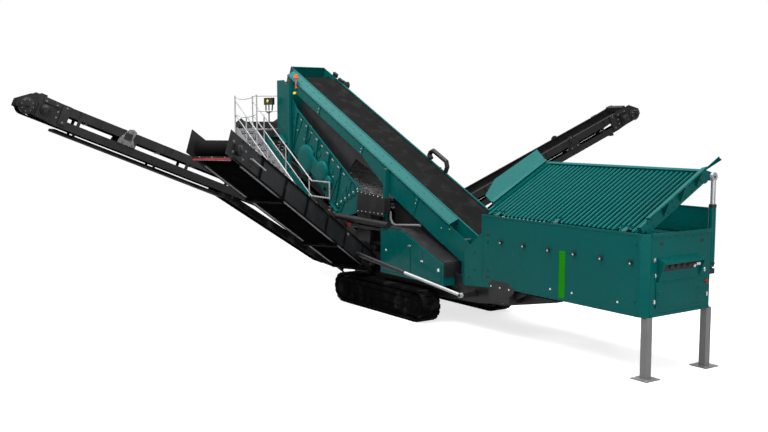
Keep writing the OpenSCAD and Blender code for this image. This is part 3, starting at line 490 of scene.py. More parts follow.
def dress_grid():
    """Caps on the bars, plates, round ends, folds, ribs and bolts of the grid's arms."""
    caps, bolts, plates, ribs = Shape(GRID), Shape(GRID), Shape(GRID), Shape(GRID)
    step = (GRID_X[1] - GRID_X[0] - 2 * ARM) / GRID_BARS
    for i in range(GRID_BARS):
        x = GRID_X[0] + ARM + (i + 0.5) * step
        start = 0.14 if min(abs(x - lug) for lug in HINGE_X) < 0.16 else -0.03
        outline = ((x - 0.03, 0.04), (x - 0.012, 0.062), (x + 0.012, 0.062), (x + 0.03, 0.04))
        caps.plate([(x, start, z) for x, z in outline], (0, 2.15 - start, 0))
    for end, out in ((GRID_X[0], -1), (GRID_X[1], 1)):
        plates.box((end, 0.2, -0.15), (end - out * 0.13, 2.25, -0.061))
        plates.turned((end, 2.16, -0.035), (out, 0, 0), [(0, 0.14), (0.012, 0.14)], 36)
        for fold in WING_FOLDS:
            plates.prism(*[[on_wing(end, out, *point) for point in outline] for outline in fold])
        for u in (0.3, 0.42, 0.9, 1.1, 1.5, 1.7, 1.9):
            bolts.bolt((end, u, 0.04), (out, 0, 0), 0.016)
            bolts.bolt((end, u, -0.1), (out, 0, 0), 0.016)
        for u in (0.75, 1.3, 1.85):
            ribs.plate([(end, u, 0.06), on_wing(end, out, u, 0.34, 0.012), (end, u, -0.1)], (0, 0.012, 0))
    for x in spread(GRID_X[0] + 0.1, GRID_X[1] - 0.1, 12):
        bolts.bolt((x, 2.25, 0.02), (0, 1, 0), 0.016)
    caps.done("grid_bar_caps", TEAL, body="grid", edge=0.003, slot="teal_paint")
    plates.done("grid_arm_plates", TEAL, body="grid", edge=0.003, slot="teal_paint")
    bolts.done("grid_bolts", TEAL, body="grid", slot="teal_paint")
    ribs.done("wing_ribs", TEAL, body="grid", edge=0.003, slot="teal_paint")


# Rams, with their sleeves

RAM_X = (-4.59, -0.15)
RAM_Y, RAM_FOOT, RAM_HEAD, SLEEVE_TOP = 1.2, 1.9, 3.8, 3.25


def dress_rams():
    """Sleeves with clamps and pipes in place of the barrels, and shafts in place of the rods."""
    sleeves, rings, shafts = Shape(), Shape(), Shape()
    clamp = [(0, 0.071), (0.005, 0.078), (0.05, 0.078), (0.055, 0.071)]
    eye = [(0, 0.05), (0, 0.09), (0.06, 0.09), (0.06, 0.05)]
    pipe = ((0.07, 2.12), (0.1, 2.16), (0.1, 3.05), (0.07, 3.1))
    for x in RAM_X:
        sleeves.turned((x - 0.03, RAM_Y, RAM_FOOT), (1, 0, 0), [(0, 0.06), (0.06, 0.06)], 24)
        sleeves.turned((x, RAM_Y, RAM_FOOT + 0.02), (0, 0, 1), [
            (0, 0.03), (0.05, 0.03), (0.06, 0.07), (SLEEVE_TOP - RAM_FOOT - 0.02, 0.07),
            (SLEEVE_TOP - RAM_FOOT - 0.02, 0.056), (0.12, 0.056), (0.11, 0.02)], 28)
        for z in (RAM_FOOT + 0.12, SLEEVE_TOP - 0.07):
            rings.turned((x, RAM_Y, z), (0, 0, 1), clamp, 24)
        rings.tube([(x, RAM_Y + out, z) for out, z in pipe], 0.012, 8)
        shafts.rod((x, RAM_Y, RAM_FOOT + 0.62), (x, RAM_Y, RAM_HEAD - 0.06), 0.05, 24)
        shafts.turned((x - 0.03, RAM_Y, RAM_HEAD), (1, 0, 0), eye, 28)
    sleeves.done("ram_sleeves", TEAL, body="ram_barrel", replaces=("ram_barrels",), slot="teal_paint")
    rings.done("ram_rings", BLACK, body="ram_barrel", slot="black_paint")
    shafts.done("ram_shafts", ZINC, body="ram_rod", replaces=("ram_rods",), slot="galvanised")


dress_hopper()
dress_end_wall()
dress_legs()
dress_grid()
dress_rams()

# Main conveyor

MAIN_LENGTH = 10.35
LEDGE_FROM = 1.744
RAIL, WEB_Y = 0.59, 0.8


def main_low_edge(s):
    """Lower edge of the side web along the conveyor."""
    if s < 4.2:
        return -0.39
    return -0.39 + 0.27 * min(1, (s - 4.2) / 1.67)


def dress_main():
    """Rivets, lips, idlers and bearings along the main conveyor, black sheets inside it that are partly
    painted shade, and its seals.
    """
    bolts, lips, rollers, frames = Shape(MAIN), Shape(MAIN), Shape(MAIN), Shape(MAIN)
    rivets, studs, shade_panels, webs, seals = Shape(MAIN), Shape(), Shape(), Shape(MAIN), Shape(MAIN)
    web_face = WEB_Y + 0.01
    lip = ((WEB_Y, 0.2), (WEB_Y + 0.03, 0.185), (WEB_Y + 0.03, 0.15), (WEB_Y + 0.011, 0.15))
    cap = [(0, 0.12), (0.08, 0.12), (0.1, 0.08), (0.11, 0.06)]
    panel = ((-8.6, 2.1), (-8.6, 3.1), (-5.9, 1.8), (-5.9, 1.5), (-7.5, 2.1))
    seal = ((0.585, 0.3), (0.575, 0.3), (0.46, 0.218), (0.47, 0.215))
    for side in (-1, 1):
        way = (0, side, 0)
        for s in spread(LEDGE_FROM + 0.15, MAIN_LENGTH, 22):
            rivets.bolt((s, side * web_face, main_low_edge(s) + 0.06), way, 0.012)
            rivets.bolt((s + 0.2, side * web_face, 0.12), way, 0.012)
            rivets.bolt((s, side * 0.7, 0.275), (0, side * 0.5, 0.8), 0.01)
        for s in (3.1, 5.9, 8.4):
            out = side * (web_face + 0.015)
            lips.box((s, side * web_face, main_low_edge(s) + 0.01), (s + 0.14, out, 0.14))
            for z in (-0.05, 0.05):
                bolts.bolt((s + 0.07, out, z), way, 0.013)
        for x, z in ((-6.43, 2.3), (-6.1, 2.3), (-5.4, 1.74)):
            studs.bolt((x, side * web_face, z), way, 0.016)
        lips.box((-0.25, side * (RAIL - 0.03), 0.331), (MAIN_LENGTH + 0.25, side * (RAIL + 0.02), 0.343))
        lips.plate([(LEDGE_FROM, side * y, z) for y, z in lip], (MAIN_LENGTH + 0.25 - LEDGE_FROM, 0, 0))
    for s in spread(0.4, MAIN_LENGTH - 0.4, 14):
        rollers.rod((s, -0.5, 0.13), (s, 0.5, 0.13), 0.055)
        rollers.rod((s, -WEB_Y, 0.13), (s, WEB_Y, 0.13), 0.016, 8)
        frames.box((s - 0.03, -WEB_Y, 0.02), (s + 0.03, WEB_Y, 0.06))
    for s in spread(0.6, MAIN_LENGTH - 0.6, 8):
        rollers.rod((s, -0.52, -0.265), (s, 0.52, -0.265), 0.05)
        rollers.rod((s, -RAIL, -0.265), (s, RAIL, -0.265), 0.016, 8)
    for side in (-1, 1):
        for s, out in ((0, RAIL + 0.01), (MAIN_LENGTH, web_face)):
            frames.box((s - 0.14, side * out, -0.09), (s + 0.14, side * (out + 0.06), 0.09))
            frames.turned((s, side * out, 0), (0, side, 0), cap)
            for ds, dz in ((-0.11, -0.06), (0.11, -0.06), (-0.11, 0.06), (0.11, 0.06)):
                bolts.bolt((s + ds, side * (out + 0.06), dz), (0, side, 0), 0.016)
        # Painted shade, in part: black sheets fill the gap between the main conveyor and the housings,
        # where the conveyor's shadow and dark underside show
        shade_panels.plate([(x, side * 0.655, z) for x, z in panel], (0, side * 0.01, 0))
        webs.box((0.85, side * WEB_Y, -0.39), (LEDGE_FROM, side * web_face, 0.16))
        seals.plate([(0.3, side * y, z) for y, z in seal], (MAIN_LENGTH - 0.5, 0, 0))
    shade_panels.done("main_shade_panels", BLACK, slot="black_paint")
    webs.done("main_web_ends", TEAL, edge=0.002, slot="teal_paint")
    bolts.done("main_bolts", STEEL, slot="galvanised")
    rivets.done("main_rivets", TEAL, slot="teal_paint")
    studs.done("main_studs", STEEL, slot="galvanised")
    lips.done("main_lips", TEAL, edge=0.003, slot="teal_paint")
    rollers.done("main_rollers", GREY, slot="grey_paint")
    frames.done("main_bearings", BLACK, edge=0.004, slot="black_paint")
    seals.done("main_skirt_rubber", BELT, slot="belt_rubber")


def dress_main_extras():
    """Guard hoop and small boxes on the far rail, a bent pipe, and the tops of the posts."""
    bracket, pipe, top = Shape(MAIN), Shape(), Shape()
    hoop = ((4.0, 0.33), (4.0, 0.5), (4.1, 0.61), (4.72, 0.61), (4.82, 0.5), (4.82, 0.42), (4.7, 0.38))
    bracket.tube([(s, -0.6, z) for s, z in hoop], 0.06, 10)
    bracket.box((9.7, -0.66, 0.34), (9.95, -0.58, 0.42))
    bracket.box((10.1, -0.66, 0.34), (10.3, -0.58, 0.46))
    bracket.done("far_rail_fittings", BLACK, edge=0.004, slot="black_paint")
    pipe.tube([(-8.53, -0.85, 2.55), (-8.5, -0.86, 2.35), (-8.4, -0.87, 2.24), (-8.25, -0.88, 2.21),
               (-7.2, -0.88, 2.3)], 0.035, 12)
    pipe.done("bent_pipe", GREY, slot="grey_paint")
    top.box((-8.73, -0.91, 3.4), (-8.67, -0.85, 3.66))
    top.box((-8.73, 0.85, 3.4), (-8.67, 0.91, 3.66))
    top.done("post_tops", GREY, edge=0.006, slot="grey_paint")


def dress_head():
    """Hood edges, drive motor, beacon base and knob at the head of the main conveyor."""
    edge, base, knob, motor = Shape(MAIN), Shape(), Shape(), Shape(MAIN)
    x = MAIN_LENGTH
    edge.box((x + 0.2, -0.6, 0.33), (x + 0.52, -0.57, 0.345))
    edge.box((x + 0.2, 0.57, 0.33), (x + 0.52, 0.6, 0.345))
    edge.box((x + 0.49, -0.6, 0.33), (x + 0.53, 0.6, 0.35))
    for y in (-0.58, 0.58):
        edge.box((x + 0.5, y - 0.02, -0.1), (x + 0.525, y + 0.02, 0.33))
    edge.done("head_edges", TEAL, edge=0.003, slot="teal_paint")
    drum = [(0, 0.13), (0.02, 0.15), (0.2, 0.15), (0.22, 0.11), (0.36, 0.11), (0.37, 0.08)]
    motor.turned((x, -0.92, 0), (0, -1, 0), drum)
    motor.done("main_motor", BLACK, slot="black_paint")
    low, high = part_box("beacon")
    mid = (low + high) / 2 - ORIGIN
    ring = [(0, 0.05), (0.005, 0.066), (0.018, 0.066), (0.022, 0.061)]
    base.turned((mid.x, mid.y, high.z - 0.13), (0, 0, 1), ring, 24)
    base.done("beacon_base", BLACK, slot="black_paint")
    ball = [(0, 0.02), (0.01, 0.05), (0.07, 0.05), (0.08, 0.02)]
    knob.turned((mid.x - 0.06, mid.y - 0.01, low.z - 0.18), (0, 0, 1), ball, 16)
    knob.done("head_knob", YELLOW)


# Screen box

SCREEN_HALF = 0.862


def spring_coil(shape, at, height, r, wire, turns=5, steps=14):
    """Wire wound up from a point, with a number of straight steps in each turn."""
    points = []
    for i in range(turns * steps + 1):
        t = math.tau * i / steps
        rise = height * i / (turns * steps)
        points.append((at[0] + r * math.cos(t), at[1] + r * math.sin(t), at[2] + rise))
    shape.tube(points, wire, 8)


def dress_screen():
    """Bolts, flanges, ribs, edges and springs on both sides of the screen box."""
    bolts, edges, coils, seats = Shape(SCREEN), Shape(SCREEN), Shape(SCREEN), Shape(SCREEN)
    rivets = Shape(SCREEN)
    flange = [(0, 0.1), (0.015, 0.1), (0.016, 0.085), (0.017, 0.07)]
    rib = ((0, 0.1), (0.03, 0.1), (0.36, 1.15), (0.33, 1.15))
    for side in (-1, 1):
        out, way = side * SCREEN_HALF, (0, side, 0)
        for u in spread(-0.4, 3.6, 20):
            rivets.bolt((u, out, 1.16), way, 0.012)
            rivets.bolt((u, out, 0.93), way, 0.012)
        for u in spread(0.1, 4.2, 20):
            rivets.bolt((u, out, 0.08), way, 0.012)
            rivets.bolt((u, out, 0.46), way, 0.012)
        for u in spread(0.5, 3.3, 9):
            bolts.box((u, out, 1.085), (u + 0.1, out + side * 0.014, 1.11))
        for u in (0.35, 0.99, 1.63, 2.27, 2.91, 3.4):
            for w in (0.25, 0.7):
                bolts.bolt((u, out, w), way, 0.014)
        for u in (0.3, 1.14, 1.98, 2.82, 3.66):
            for w in (0.33, 0.79):
                seats.turned((u, out, w), way, flange, 20)
                for t in angles(6):
                    at = (u + 0.085 * math.cos(t), out + side * 0.015, w + 0.085 * math.sin(t))
                    rivets.bolt(at, way, 0.01)
        edges.box((-0.54, out, 1.2), (3.72, out + side * 0.03, 1.235))
        for u in spread(0.42, 3.3, 5):
            edges.plate([(u + du, out, w) for du, w in rib], (0, side * 0.045, 0))
        for u in (0.29, 0.55, 3.77, 4.03):
            spring_coil(coils, (u, side * 0.93, -0.5), 0.54, 0.04, 0.011)
            for w in (-0.5, 0.028):
                seats.turned((u, side * 0.93, w), (0, 0, 1), [(0, 0.047), (0.012, 0.047)], 18)
    coils.done("screen_spring_coils", GREY, replaces=("screen_springs",), slot="grey_paint")
    bolts.done("screen_bolts", STEEL, slot="galvanised")
    rivets.done("screen_rivets", TEAL, slot="teal_paint")
    edges.done("screen_edges", TEAL, edge=0.003, slot="teal_paint")
    seats.done("screen_seats", TEAL, slot="teal_paint")


def dress_guard():
    """Domed covers over the drive: a large round one and two lobes beside it."""
    dome, bolts = Shape(SCREEN), Shape(SCREEN)
    base = SCREEN_HALF + 0.018
    for u, w, r, depth in ((2.45, 0.27, 0.46, 0.11), (1.5, 0.5, 0.33, 0.11), (1.1, 0.42, 0.2, 0.075)):
        profile = [(0, r), (depth * 0.45, r * 0.985), (depth * 0.75, r * 0.9), (depth * 0.93, r * 0.74),
                   (depth, r * 0.5), (depth, 0.02)]
        dome.turned((u, base, w), (0, 1, 0), profile, 36)
        for t in angles(12):
            # Only where the side plate lies behind the bolt
            height = w + r * 1.05 * math.sin(t)
            if height > 0.02:
                bolts.bolt((u + r * 1.05 * math.cos(t), base - 0.012, height), (0, 1, 0), 0.012)
    dome.box((1.15, base, 0.15), (2.4, base + 0.06, 0.6))
    dome.done("drive_domes", TEAL, edge=0.004, replaces=("screen_drive_guard",), slot="teal_paint")
    bolts.done("dome_bolts", TEAL, slot="teal_paint")


def dress_screen_end():
    """Bolted discharge box, tubes with red bands and toothed plate at the screen's lower end."""
    black, red, teeth, bolts = Shape(), Shape(), Shape(), Shape()
    face = ((-9.68, 2.46), (-8.37, 2.43), (-8.34, 2.95), (-9.59, 3.05))
    black.plate([(x, -1.17, z) for x, z in face], (0, 0.03, 0))
    black.box((-9.5, -1.14, 2.5), (-9.2, -0.87, 2.9))
    black.box((-8.75, -1.14, 2.5), (-8.5, -0.87, 2.9))
    for x in spread(-9.6, -8.45, 7):
        bolts.bolt((x, -1.17, 2.5), (0, -1, 0), 0.014)
        bolts.bolt((x, -1.17, 2.97 - 0.08 * (x + 9.0)), (0, -1, 0), 0.014)
    black.rod((-10.6, -1.22, 2.28), (-8.09, -1.22, 2.24), 0.085, 18)
    black.box((-9.45, -1.16, 2.15), (-9.25, -1.12, 2.4))
    black.box((-8.75, -1.16, 2.06), (-8.6, -0.87, 2.3))
    black.rod((-10.5, -1.2, 2.1), (-8.09, -1.2, 2.1), 0.05, 14)
    for x in (-10.35, -10.0):
        red.turned((x, -1.2, 2.1), (1, 0, 0), [(0, 0.053), (0.16, 0.053)], 16)
    for i in range(6):
        x, z = -11.2 + 0.21 * i, 2.45 + 0.1 * i
        tooth = [(x, -0.885, z), (x + 0.2, -0.885, z + 0.02), (x + 0.1, -0.885, z + 0.3)]
        teeth.plate(tooth, (0, 0.02, 0))
        bolts.bolt((x + 0.1, -0.885, z + 0.1), (0, -1, 0), 0.018)
    black.done("screen_end_box", BLACK, edge=0.004, slot="black_paint")
    red.done("tube_bands", RED)
    teeth.done("screen_end_teeth", TEAL, edge=0.003, slot="teal_paint")
    bolts.done("screen_end_bolts", STEEL, slot="galvanised")


def dress_decks():
    """Wire cloth over both decks."""
    wire = Shape(SCREEN)
    for w, start, stop in ((0.962, -0.44, 3.64), (0.502, -0.29, 3.88)):
        for y in spread(-0.82, 0.82, 42):
            wire.rod((start, y, w), (stop, y, w), 0.006, 5)
        for u in spread(start, stop, 70):
            wire.rod((u, -0.84, w + 0.006), (u, 0.84, w + 0.006), 0.006, 5)
    wire.done("deck_cloth", DECK, slot="deck_steel")


dress_main()
dress_main_extras()
dress_head()
dress_screen()
dress_guard()
dress_screen_end()
dress_decks()

# Housings, tracks and chassis

HOUSING_Y = 1.25
HOUSING_TOP = ((-8.4, 2.17), (-7.5, 2.17), (-5.78, 1.53))


def dress_housings():
    """Covers, seams, latches, filler caps and rivets of both housings; the black covers on the slanted
    tops stand partly for a real covering and partly for the main conveyor's shadow, as painted shade.
    """
    covers, seams, fittings, caps, rivets = Shape(), Shape(), Shape(), Shape(), Shape()
    shade_outline = HOUSING_TOP + tuple((x, z + 0.03) for x, z in reversed(HOUSING_TOP))
    low_row = [(x, 1.08) for x in spread(-8.3, -5.9, 9)]
    high_row = [(x, 2.08) for x in spread(-8.3, -7.6, 4)]
    for side in (-1, 1):
        out, seam = side * HOUSING_Y, side * (HOUSING_Y + 0.002)
        inner, wide = side * 0.69, side * (HOUSING_Y - 0.02 - 0.69)
        # Painted shade, in part: black covering over each housing's slanted top, where the main conveyor's
        # shadow falls
        covers.box((-5.78, inner, 1.2), (-5.75, inner + wide, 1.53))
        covers.plate([(x, inner, z) for x, z in shade_outline], (0, wide, 0))
        for x, top in ((-7.5, 2.1), (-6.6, 1.78)):
            seams.box((x - 0.006, out, 1.04), (x + 0.006, seam, top))
        seams.box((-8.36, out, 1.2), (-5.82, seam, 1.21))
        for x, z in ((-7.13, 1.82), (-6.6, 1.5)):
            fittings.box((x - 0.05, out, z - 0.02), (x + 0.05, out + side * 0.025, z + 0.02))
        for x, z in low_row + high_row:
            rivets.bolt((x, out, z), (0, side, 0), 0.012)
        for x, z, r in ((-5.94, 1.36, 0.045), (-8.13, 1.6, 0.035)):
            caps.turned((x, out, z), (0, side, 0), [(0, r), (0.025, r), (0.035, r * 0.7)], 18)
    covers.done("housing_shade_covers", BLACK, edge=0.004, slot="black_paint")
    seams.done("housing_seams", BLACK, slot="black_paint")
    fittings.done("housing_fittings", STEEL, edge=0.002, slot="galvanised")
    caps.done("housing_caps", STEEL, slot="galvanised")
    rivets.done("housing_rivets", TEAL, slot="teal_paint")


TRACK_X, TRACK_Y, TRACK_R, TRACK_REACH = -8.3, 1.2, 0.4, 1.65


def dress_tracks():
    """Rollers, end wheels, side plates and bolts of the tracks."""
    rollers, bolts, plates = Shape(), Shape(), Shape()
    roller = [(0, 0.1), (0.03, 0.1), (0.035, 0.06), (0.05, 0.05)]
    wheel = [(0, 0.27), (0.02, 0.27), (0.03, 0.2), (0.03, 0.12), (0.05, 0.1)]
    for side in (-1, 1):
        face, way = side * (TRACK_Y + 0.2), (0, side, 0)
        for x in spread(TRACK_X - 1.2, TRACK_X + 1.2, 7):
            rollers.turned((x, face, 0.2), way, roller, 20)
            bolts.bolt((x, face + side * 0.05, 0.2), way, 0.016)
        for x in (TRACK_X - TRACK_REACH, TRACK_X + TRACK_REACH):
            rollers.turned((x, face, TRACK_R), way, wheel, 32)
            for t in angles(10):
                at = (x + 0.16 * math.cos(t), face + side * 0.03, TRACK_R + 0.16 * math.sin(t))
                bolts.bolt(at, way, 0.014)
        plates.box((TRACK_X - 1.3, face, 0.32), (TRACK_X + 1.3, face + side * 0.02, 0.56))
        plates.box((TRACK_X - 1.6, side * 0.99, 0.14), (TRACK_X + 1.6, side * 1.4, 0.68))
        plates.box((TRACK_X - 1.5, side * 0.96, 0.58), (TRACK_X + 1.5, side * 1.44, 0.7))
        for x in spread(TRACK_X - 1.2, TRACK_X + 1.2, 9):
            bolts.bolt((x, face + side * 0.02, 0.35), way, 0.012)
    rollers.done("track_rollers", TRACK, slot="track_steel")
    bolts.done("track_bolts", TRACK, slot="track_steel")
    plates.done("track_plates", TRACK, edge=0.006, slot="track_steel")


def dress_chassis():
    """Web plates, hoses and the stepped plate along the chassis."""
    webs, hoses, bolts = Shape(), Shape(), Shape()
    web = ((-10.4, 0.9), (-9.9, 0.62), (-6.6, 0.62), (-4.9, 0.7), (-4.1, 0.8), (-3.3, 1.12), (-5.8, 1.3),
           (-5.8, 1.42), (-10.4, 1.42))
    step = ((-4.38, 0.92), (-3.8, 0.95), (-3.55, 1.14), (-3.55, 1.26), (-4.38, 1.28))
    hose = ((-9.5, 0.3), (-9.1, 0.1), (-8.3, -0.06), (-7.2, -0.08), (-6.2, -0.05), (-5.6, -0.2))
    for side in (-1, 1):
        webs.plate([(x, side * 0.86, z) for x, z in web], (0, side * 0.04, 0))
        webs.plate([(x, side * 1.02, z) for x, z in step], (0, side * 0.02, 0))
        for x in (-4.3, -4.0, -3.7):
            bolts.bolt((x, side * 1.04, 1.2), (0, side, 0), 0.014)
        for out, z in ((0.93, 1.0), (0.96, 1.06), (0.99, 1.12)):
            hoses.tube([(x, side * out, z + rise) for x, rise in hose], 0.022, 8)
    webs.done("chassis_webs", BLACK, edge=0.004, slot="black_paint")
    hoses.done("chassis_hoses", BELT, slot="belt_rubber")
    bolts.done("chassis_bolts", STEEL, slot="galvanised")


# Details of single conveyors


def dress_rear():
    """Strut plates, head drive, fold bracket and pan of the rear side conveyor; the far one has no pan."""
    hub = [(0, 0.19), (0.03, 0.19), (0.04, 0.16), (0.09, 0.15), (0.1, 0.11)]
    motor = [(0, 0.12), (0.12, 0.12), (0.13, 0.09), (0.16, 0.06)]
    strut = ((3.55, -0.15), (3.3, -0.15), (-0.3, -0.85), (-0.3, -1.0), (0, -1.0), (3.55, -0.27))
    fold = ((5.9, 0.0), (6.36, 0.0), (6.34, 0.12), (6.18, 0.4), (6.08, 0.43), (5.98, 0.38), (6.02, 0.2))
    head_bolts = ((-0.68, 0.0), (-0.68, 0.14), (-0.62, 0.28), (-0.36, 0.28), (-0.85, 0.3), (-0.85, -0.06))
    for tag, place, length in (("rear", REAR, REAR_LENGTH), ("far", FAR, FAR_LENGTH)):
        pipes, drive, bolts, bracket = Shape(place), Shape(place), Shape(place), Shape(place)
        for side in (-1, 1):
            way = (0, side, 0)
            y, out, face = side * 0.41, side * 0.438, side * 0.488
            for x in (3.4, 5.3, 7.35) if tag == "rear" else ():
                pipes.box((x - 0.03, y - 0.02, -0.26), (x + 0.03, y + 0.02, -0.15))
            pipes.plate([(x, y, z) for x, z in strut], (0, -side * 0.06, 0))
            drive.turned((length, out, 0.02), way, hub, 28)
            for t in angles(8):
                at = (length + 0.13 * math.cos(t), out + side * 0.09, 0.02 + 0.13 * math.sin(t))
                bolts.bolt(at, way, 0.012)
            drive.box((length - 0.95, out, -0.12), (length - 0.75, face, 0.36))
            drive.box((length - 0.55, out, -0.14), (length - 0.22, face, 0.2))
            drive.box((length - 0.7, out, 0.24), (length - 0.3, face, 0.33))
            drive.turned((length - 0.4, out, 0.08), way, motor, 24)
            for x, z in head_bolts:
                bolts.bolt((length + x, face, z), way, 0.016)
            bracket.plate([(x, out, z) for x, z in fold], (0, side * 0.03, 0))
            drive.box((6.06, out, 0.14), (6.24, face, 0.3))
            for x, z in ((6.0, 0.05), (6.24, 0.06), (6.09, 0.37)):
                bolts.bolt((x, out + side * 0.045, z), way, 0.016)
        if tag == "rear":
            pipes.box((PAN_FROM, -0.43, -0.32), (length - 0.75, 0.43, -0.255))
        drive.box((length - 0.35, -0.4, 0.34), (length - 0.2, 0.4, 0.42))
        pipes.done(tag + "_pipes", TRACK, slot="black_paint")
        drive.done(tag + "_head_drive", BLACK, edge=0.004, slot="black_paint")
        bolts.done(tag + "_drive_bolts", GREY, slot="grey_paint")
        paint, slot = (GREY, "grey_paint") if tag == "rear" else (BLACK, "black_paint")
        bracket.done(tag + "_fold_bracket", paint, edge=0.006, slot=slot)


def dress_front():
    """Scraper edge, cross members, stiffening bars and grab handle of the front side conveyor."""
    length = FRONT_LENGTH
    edge, bars, bolts, handle = Shape(FRONT), Shape(FRONT), Shape(FRONT), Shape(FRONT)
    edge.box((length + 0.085, -0.44, -0.275), (length + 0.125, 0.44, -0.235))
    for y in (-0.3, 0, 0.3):
        bolts.bolt((length + 0.12, y, -0.22), (1, 0, 0), 0.014)
    for x in (0.5, 2.25, 5.2):
        bars.box((x - 0.06, -0.455, -0.3), (x + 0.06, 0.455, -0.23))
    for side in (-1, 1):
        out, face = side * 0.463, side * 0.493
        bars.box((0.2, out, -0.235), (length + 0.1, face, -0.2))
        bars.box((0.2, out, 0.25), (length - 0.9, face, 0.285))
        for x in spread(0.8, length - 1.0, 6):
            bars.box((x - 0.03, out, -0.2), (x + 0.03, face, 0.25))
        for x, z in ((-0.1, 0.12), (-0.3, 0.1), (-0.25, -0.1), (0.15, -0.1), (0.2, 0.1)):
            bolts.bolt((length + x, out, z), (0, side, 0), 0.02)
        for x, z in ((1.78, 0.2), (0.85, -0.02), (0.1, -0.045)):
            bolts.bolt((x, out + side * 0.002, z), (0, side, 0), 0.03)
    bend = ((6.25, 0.46), (6.25, 0.52), (6.83, 0.52), (6.83, 0.46))
    handle.tube([(x, y, 0.03) for x, y in bend], 0.012, 8)
    edge.done("scraper_edge", RED, edge=0.004)
    bars.done("front_bars", TRACK, edge=0.004, slot="black_paint")
    bolts.done("front_plate_bolts", GREY, slot="grey_paint")
    handle.done("front_handle", ZINC, slot="galvanised")


# Stairs

LANDING_X, LANDING_Z, LANDING = -16.06, 4.65, 0.12
STAIR_IN, STAIR_OUT = 0.98, 1.62
RUN, TREADS, PLATFORM = 0.28, 14, 0.9
RISE = RUN * math.tan(math.radians(32.7))


def dress_stairs():
    """Gratings and toe plates of the stairs, rails beside the landing, and its boxes with their lamps."""
    bars, toes, rails, boxes, lens = Shape(), Shape(), Shape(), Shape(), Shape()
    post, far_post = LANDING_X + 0.04, LANDING_X + 1.54
    upper = ((0, 5.66), (0.3, 5.58), (0.7, 5.57), (1.1, 5.6), (1.5, 5.68))
    lower = ((0, 5.1), (0.5, 5.0), (1.0, 5.02), (1.5, 5.1))
    hoop = ((-15.1, 5.4), (-15.1, 5.2), (-14.95, 5.15), (-14.7, 5.2), (-14.66, 5.4))
    for side in (-1, 1):
        low, high = sorted((side * (STAIR_IN + 0.012), side * (STAIR_OUT - 0.012)))
        for i in range(1, TREADS):
            x, z = LANDING_X + LANDING + i * RUN, LANDING_Z - i * RISE
            for y in spread(low + 0.02, high - 0.02, 14):
                bars.box((x - 0.25, y - 0.004, z), (x, y + 0.004, z + 0.008))
            for back in (0.24, 0.16, 0.08, 0.004):
                bars.box((x - back - 0.004, low, z), (x - back + 0.004, high, z + 0.012))
            toes.box((x - 0.25, low, z + 0.05), (x - 0.245, high, z + RISE - 0.035))
            for y in spread(low + 0.05, high - 0.05, 7):
                boxes.box((x - 0.2449, y - 0.02, z + 0.075), (x - 0.2435, y + 0.02, z + 0.105))
        for y in spread(side * 0.56, side * (STAIR_OUT - 0.02), 22):
            deep = PLATFORM if abs(y) < STAIR_IN else LANDING
            bars.box((LANDING_X, y - 0.004, LANDING_Z), (LANDING_X + deep, y + 0.004, LANDING_Z + 0.008))
        y = side * (STAIR_OUT + 0.022)
        for rail in (upper, lower):
            rails.tube([(post + x, y, z) for x, z in rail], 0.012, 6)
        rails.rod((far_post, y, 3.75), (far_post, y, 5.7), 0.021, 12)
        for z, r in ((5.66, 0.018), (5.2, 0.015)):
            rails.rod((far_post, y, z), (far_post + 0.5, side * 1.2, z), r, 12)
        boxes.box((-15.16, side * 0.98, 5.4), (-14.6, side * 1.06, 5.62))
        boxes.tube([(x, side * 1.02, z) for x, z in hoop], 0.02, 8)
        boxes.rod((-14.9, side * 1.02, 4.65), (-14.9, side * 1.02, 5.42), 0.02, 8)
        lens.turned((-14.9, side * 1.06, 5.51), (0, side, 0), [(0, 0.05), (0.02, 0.05), (0.03, 0.03)], 14)
    bars.done("stair_gratings", ZINC, slot="galvanised")
    toes.done("stair_toe_plates", ZINC, slot="galvanised")
    rails.done("landing_rails", ZINC, slot="galvanised")
    boxes.done("landing_box", BLACK, slot="black_paint")
    lens.done("landing_lamp", YELLOW)


dress_housings()
dress_tracks()
dress_chassis()
dress_rear()
dress_front()
dress_stairs()

# Stage, light and camera

FLOOR_R, FADE_FROM, FADE_TO = 16, 11, 15


def light_mix(tree, usual, seen):
    """Value that is one thing for ordinary light and another for what the camera or a shine sees."""
    path = tree.nodes.new("ShaderNodeLightPath")
    either = tree.nodes.new("ShaderNodeMath")
    either.operation = "MAXIMUM"
    tree.links.new(path.outputs["Is Camera Ray"], either.inputs[0])
    tree.links.new(path.outputs["Is Glossy Ray"], either.inputs[1])
    return span(tree, either.outputs[0], usual, seen, 0, 1)


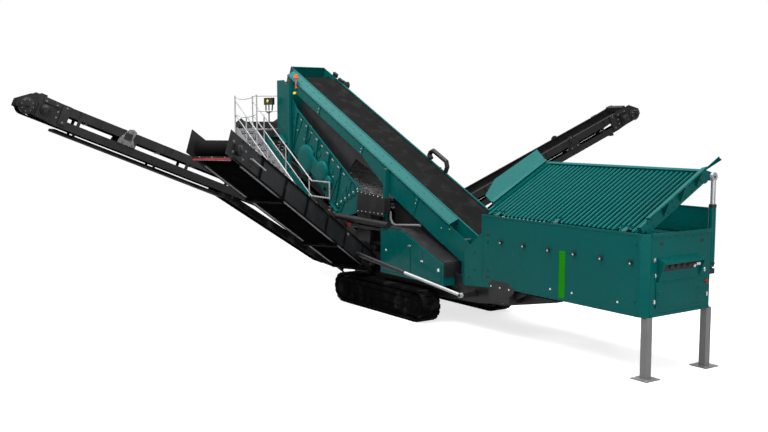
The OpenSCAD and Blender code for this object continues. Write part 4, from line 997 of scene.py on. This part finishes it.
def floor_material():
    """White to the camera where nothing shades it, duller for bounced light, and clear far away."""
    mat, tree, shader = node_material("floor_white")
    tone = light_mix(tree, 0.06, 0.5)
    grey = tree.nodes.new("ShaderNodeCombineColor")
    for channel in ("Red", "Green", "Blue"):
        tree.links.new(tone, grey.inputs[channel])
    tree.links.new(grey.outputs["Color"], shader.inputs["Base Color"])
    shader.inputs["Roughness"].default_value = 0.8
    shader.inputs["Specular IOR Level"].default_value = 0.0
    shader.inputs["Emission Color"].default_value = (1, 1, 1, 1)
    tree.links.new(light_mix(tree, 0.0, 0.72), shader.inputs["Emission Strength"])
    coord = tree.nodes.new("ShaderNodeTexCoord")
    far = tree.nodes.new("ShaderNodeVectorMath")
    far.operation = "LENGTH"
    tree.links.new(coord.outputs["Object"], far.inputs[0])
    clear = tree.nodes.new("ShaderNodeBsdfTransparent")
    mix = tree.nodes.new("ShaderNodeMixShader")
    tree.links.new(span(tree, far.outputs["Value"], 0, 1, FADE_FROM, FADE_TO), mix.inputs["Fac"])
    tree.links.new(shader.outputs["BSDF"], mix.inputs[1])
    tree.links.new(clear.outputs["BSDF"], mix.inputs[2])
    tree.links.new(mix.outputs["Shader"], tree.nodes["Material Output"].inputs["Surface"])
    return mat


def add_floor():
    bm = bmesh.new()
    bmesh.ops.create_circle(bm, cap_ends=True, segments=64, radius=FLOOR_R)
    mesh = bpy.data.meshes.new("floor")
    bm.to_mesh(mesh)
    bm.free()
    mesh.materials.append(floor_material())
    floor = bpy.data.objects.new("floor", mesh)
    bpy.context.scene.collection.objects.link(floor)


def add_area(name, at, aim, size, power):
    lamp = bpy.data.lights.new(name, "AREA")
    lamp.shape = "RECTANGLE"
    lamp.size, lamp.size_y = size
    lamp.energy = power
    holder = bpy.data.objects.new(name, lamp)
    holder.location = at
    holder.rotation_euler = (Vector(aim) - Vector(at)).to_track_quat("-Z", "Y").to_euler()
    bpy.context.scene.collection.objects.link(holder)


def add_light():
    world = bpy.data.worlds.new("studio")
    bpy.context.scene.world = world
    world.use_nodes = True
    tree = world.node_tree
    back = tree.nodes["Background"]
    back.inputs["Color"].default_value = (1, 1, 1, 1)
    coord = tree.nodes.new("ShaderNodeTexCoord")
    height = tree.nodes.new("ShaderNodeSeparateXYZ")
    tree.links.new(coord.outputs["Generated"], height.inputs[0])
    sky = span(tree, height.outputs["Z"], 0.05, 0.34, -0.1, 0.1)
    strength = light_mix(tree, 0.3, 1.0)
    tree.links.new(sky, strength.node.inputs["To Min"])
    tree.links.new(strength, back.inputs["Strength"])
    add_area("overhead", (1, -5, 18), (0, -1, 0), (26, 20), 11500)
    add_area("front", (18, -4.5, 4.5), (9, 0, 2), (5, 4), 1150)


def add_camera():
    data = bpy.data.cameras.new("camera")
    data.sensor_width = SENSOR
    data.lens = FOCAL_PIXELS / IMAGE_WIDTH * SENSOR
    data.clip_end = 500
    holder = bpy.data.objects.new("camera", data)
    holder.location = MACHINE @ CAMERA_AT
    holder.rotation_euler = (math.radians(90 - CAMERA_DIP), 0, math.radians(CAMERA_TURN))
    bpy.context.scene.collection.objects.link(holder)
    bpy.context.scene.camera = holder


add_floor()
add_light()
add_camera()
bpy.context.scene.view_settings.view_transform = "Standard"
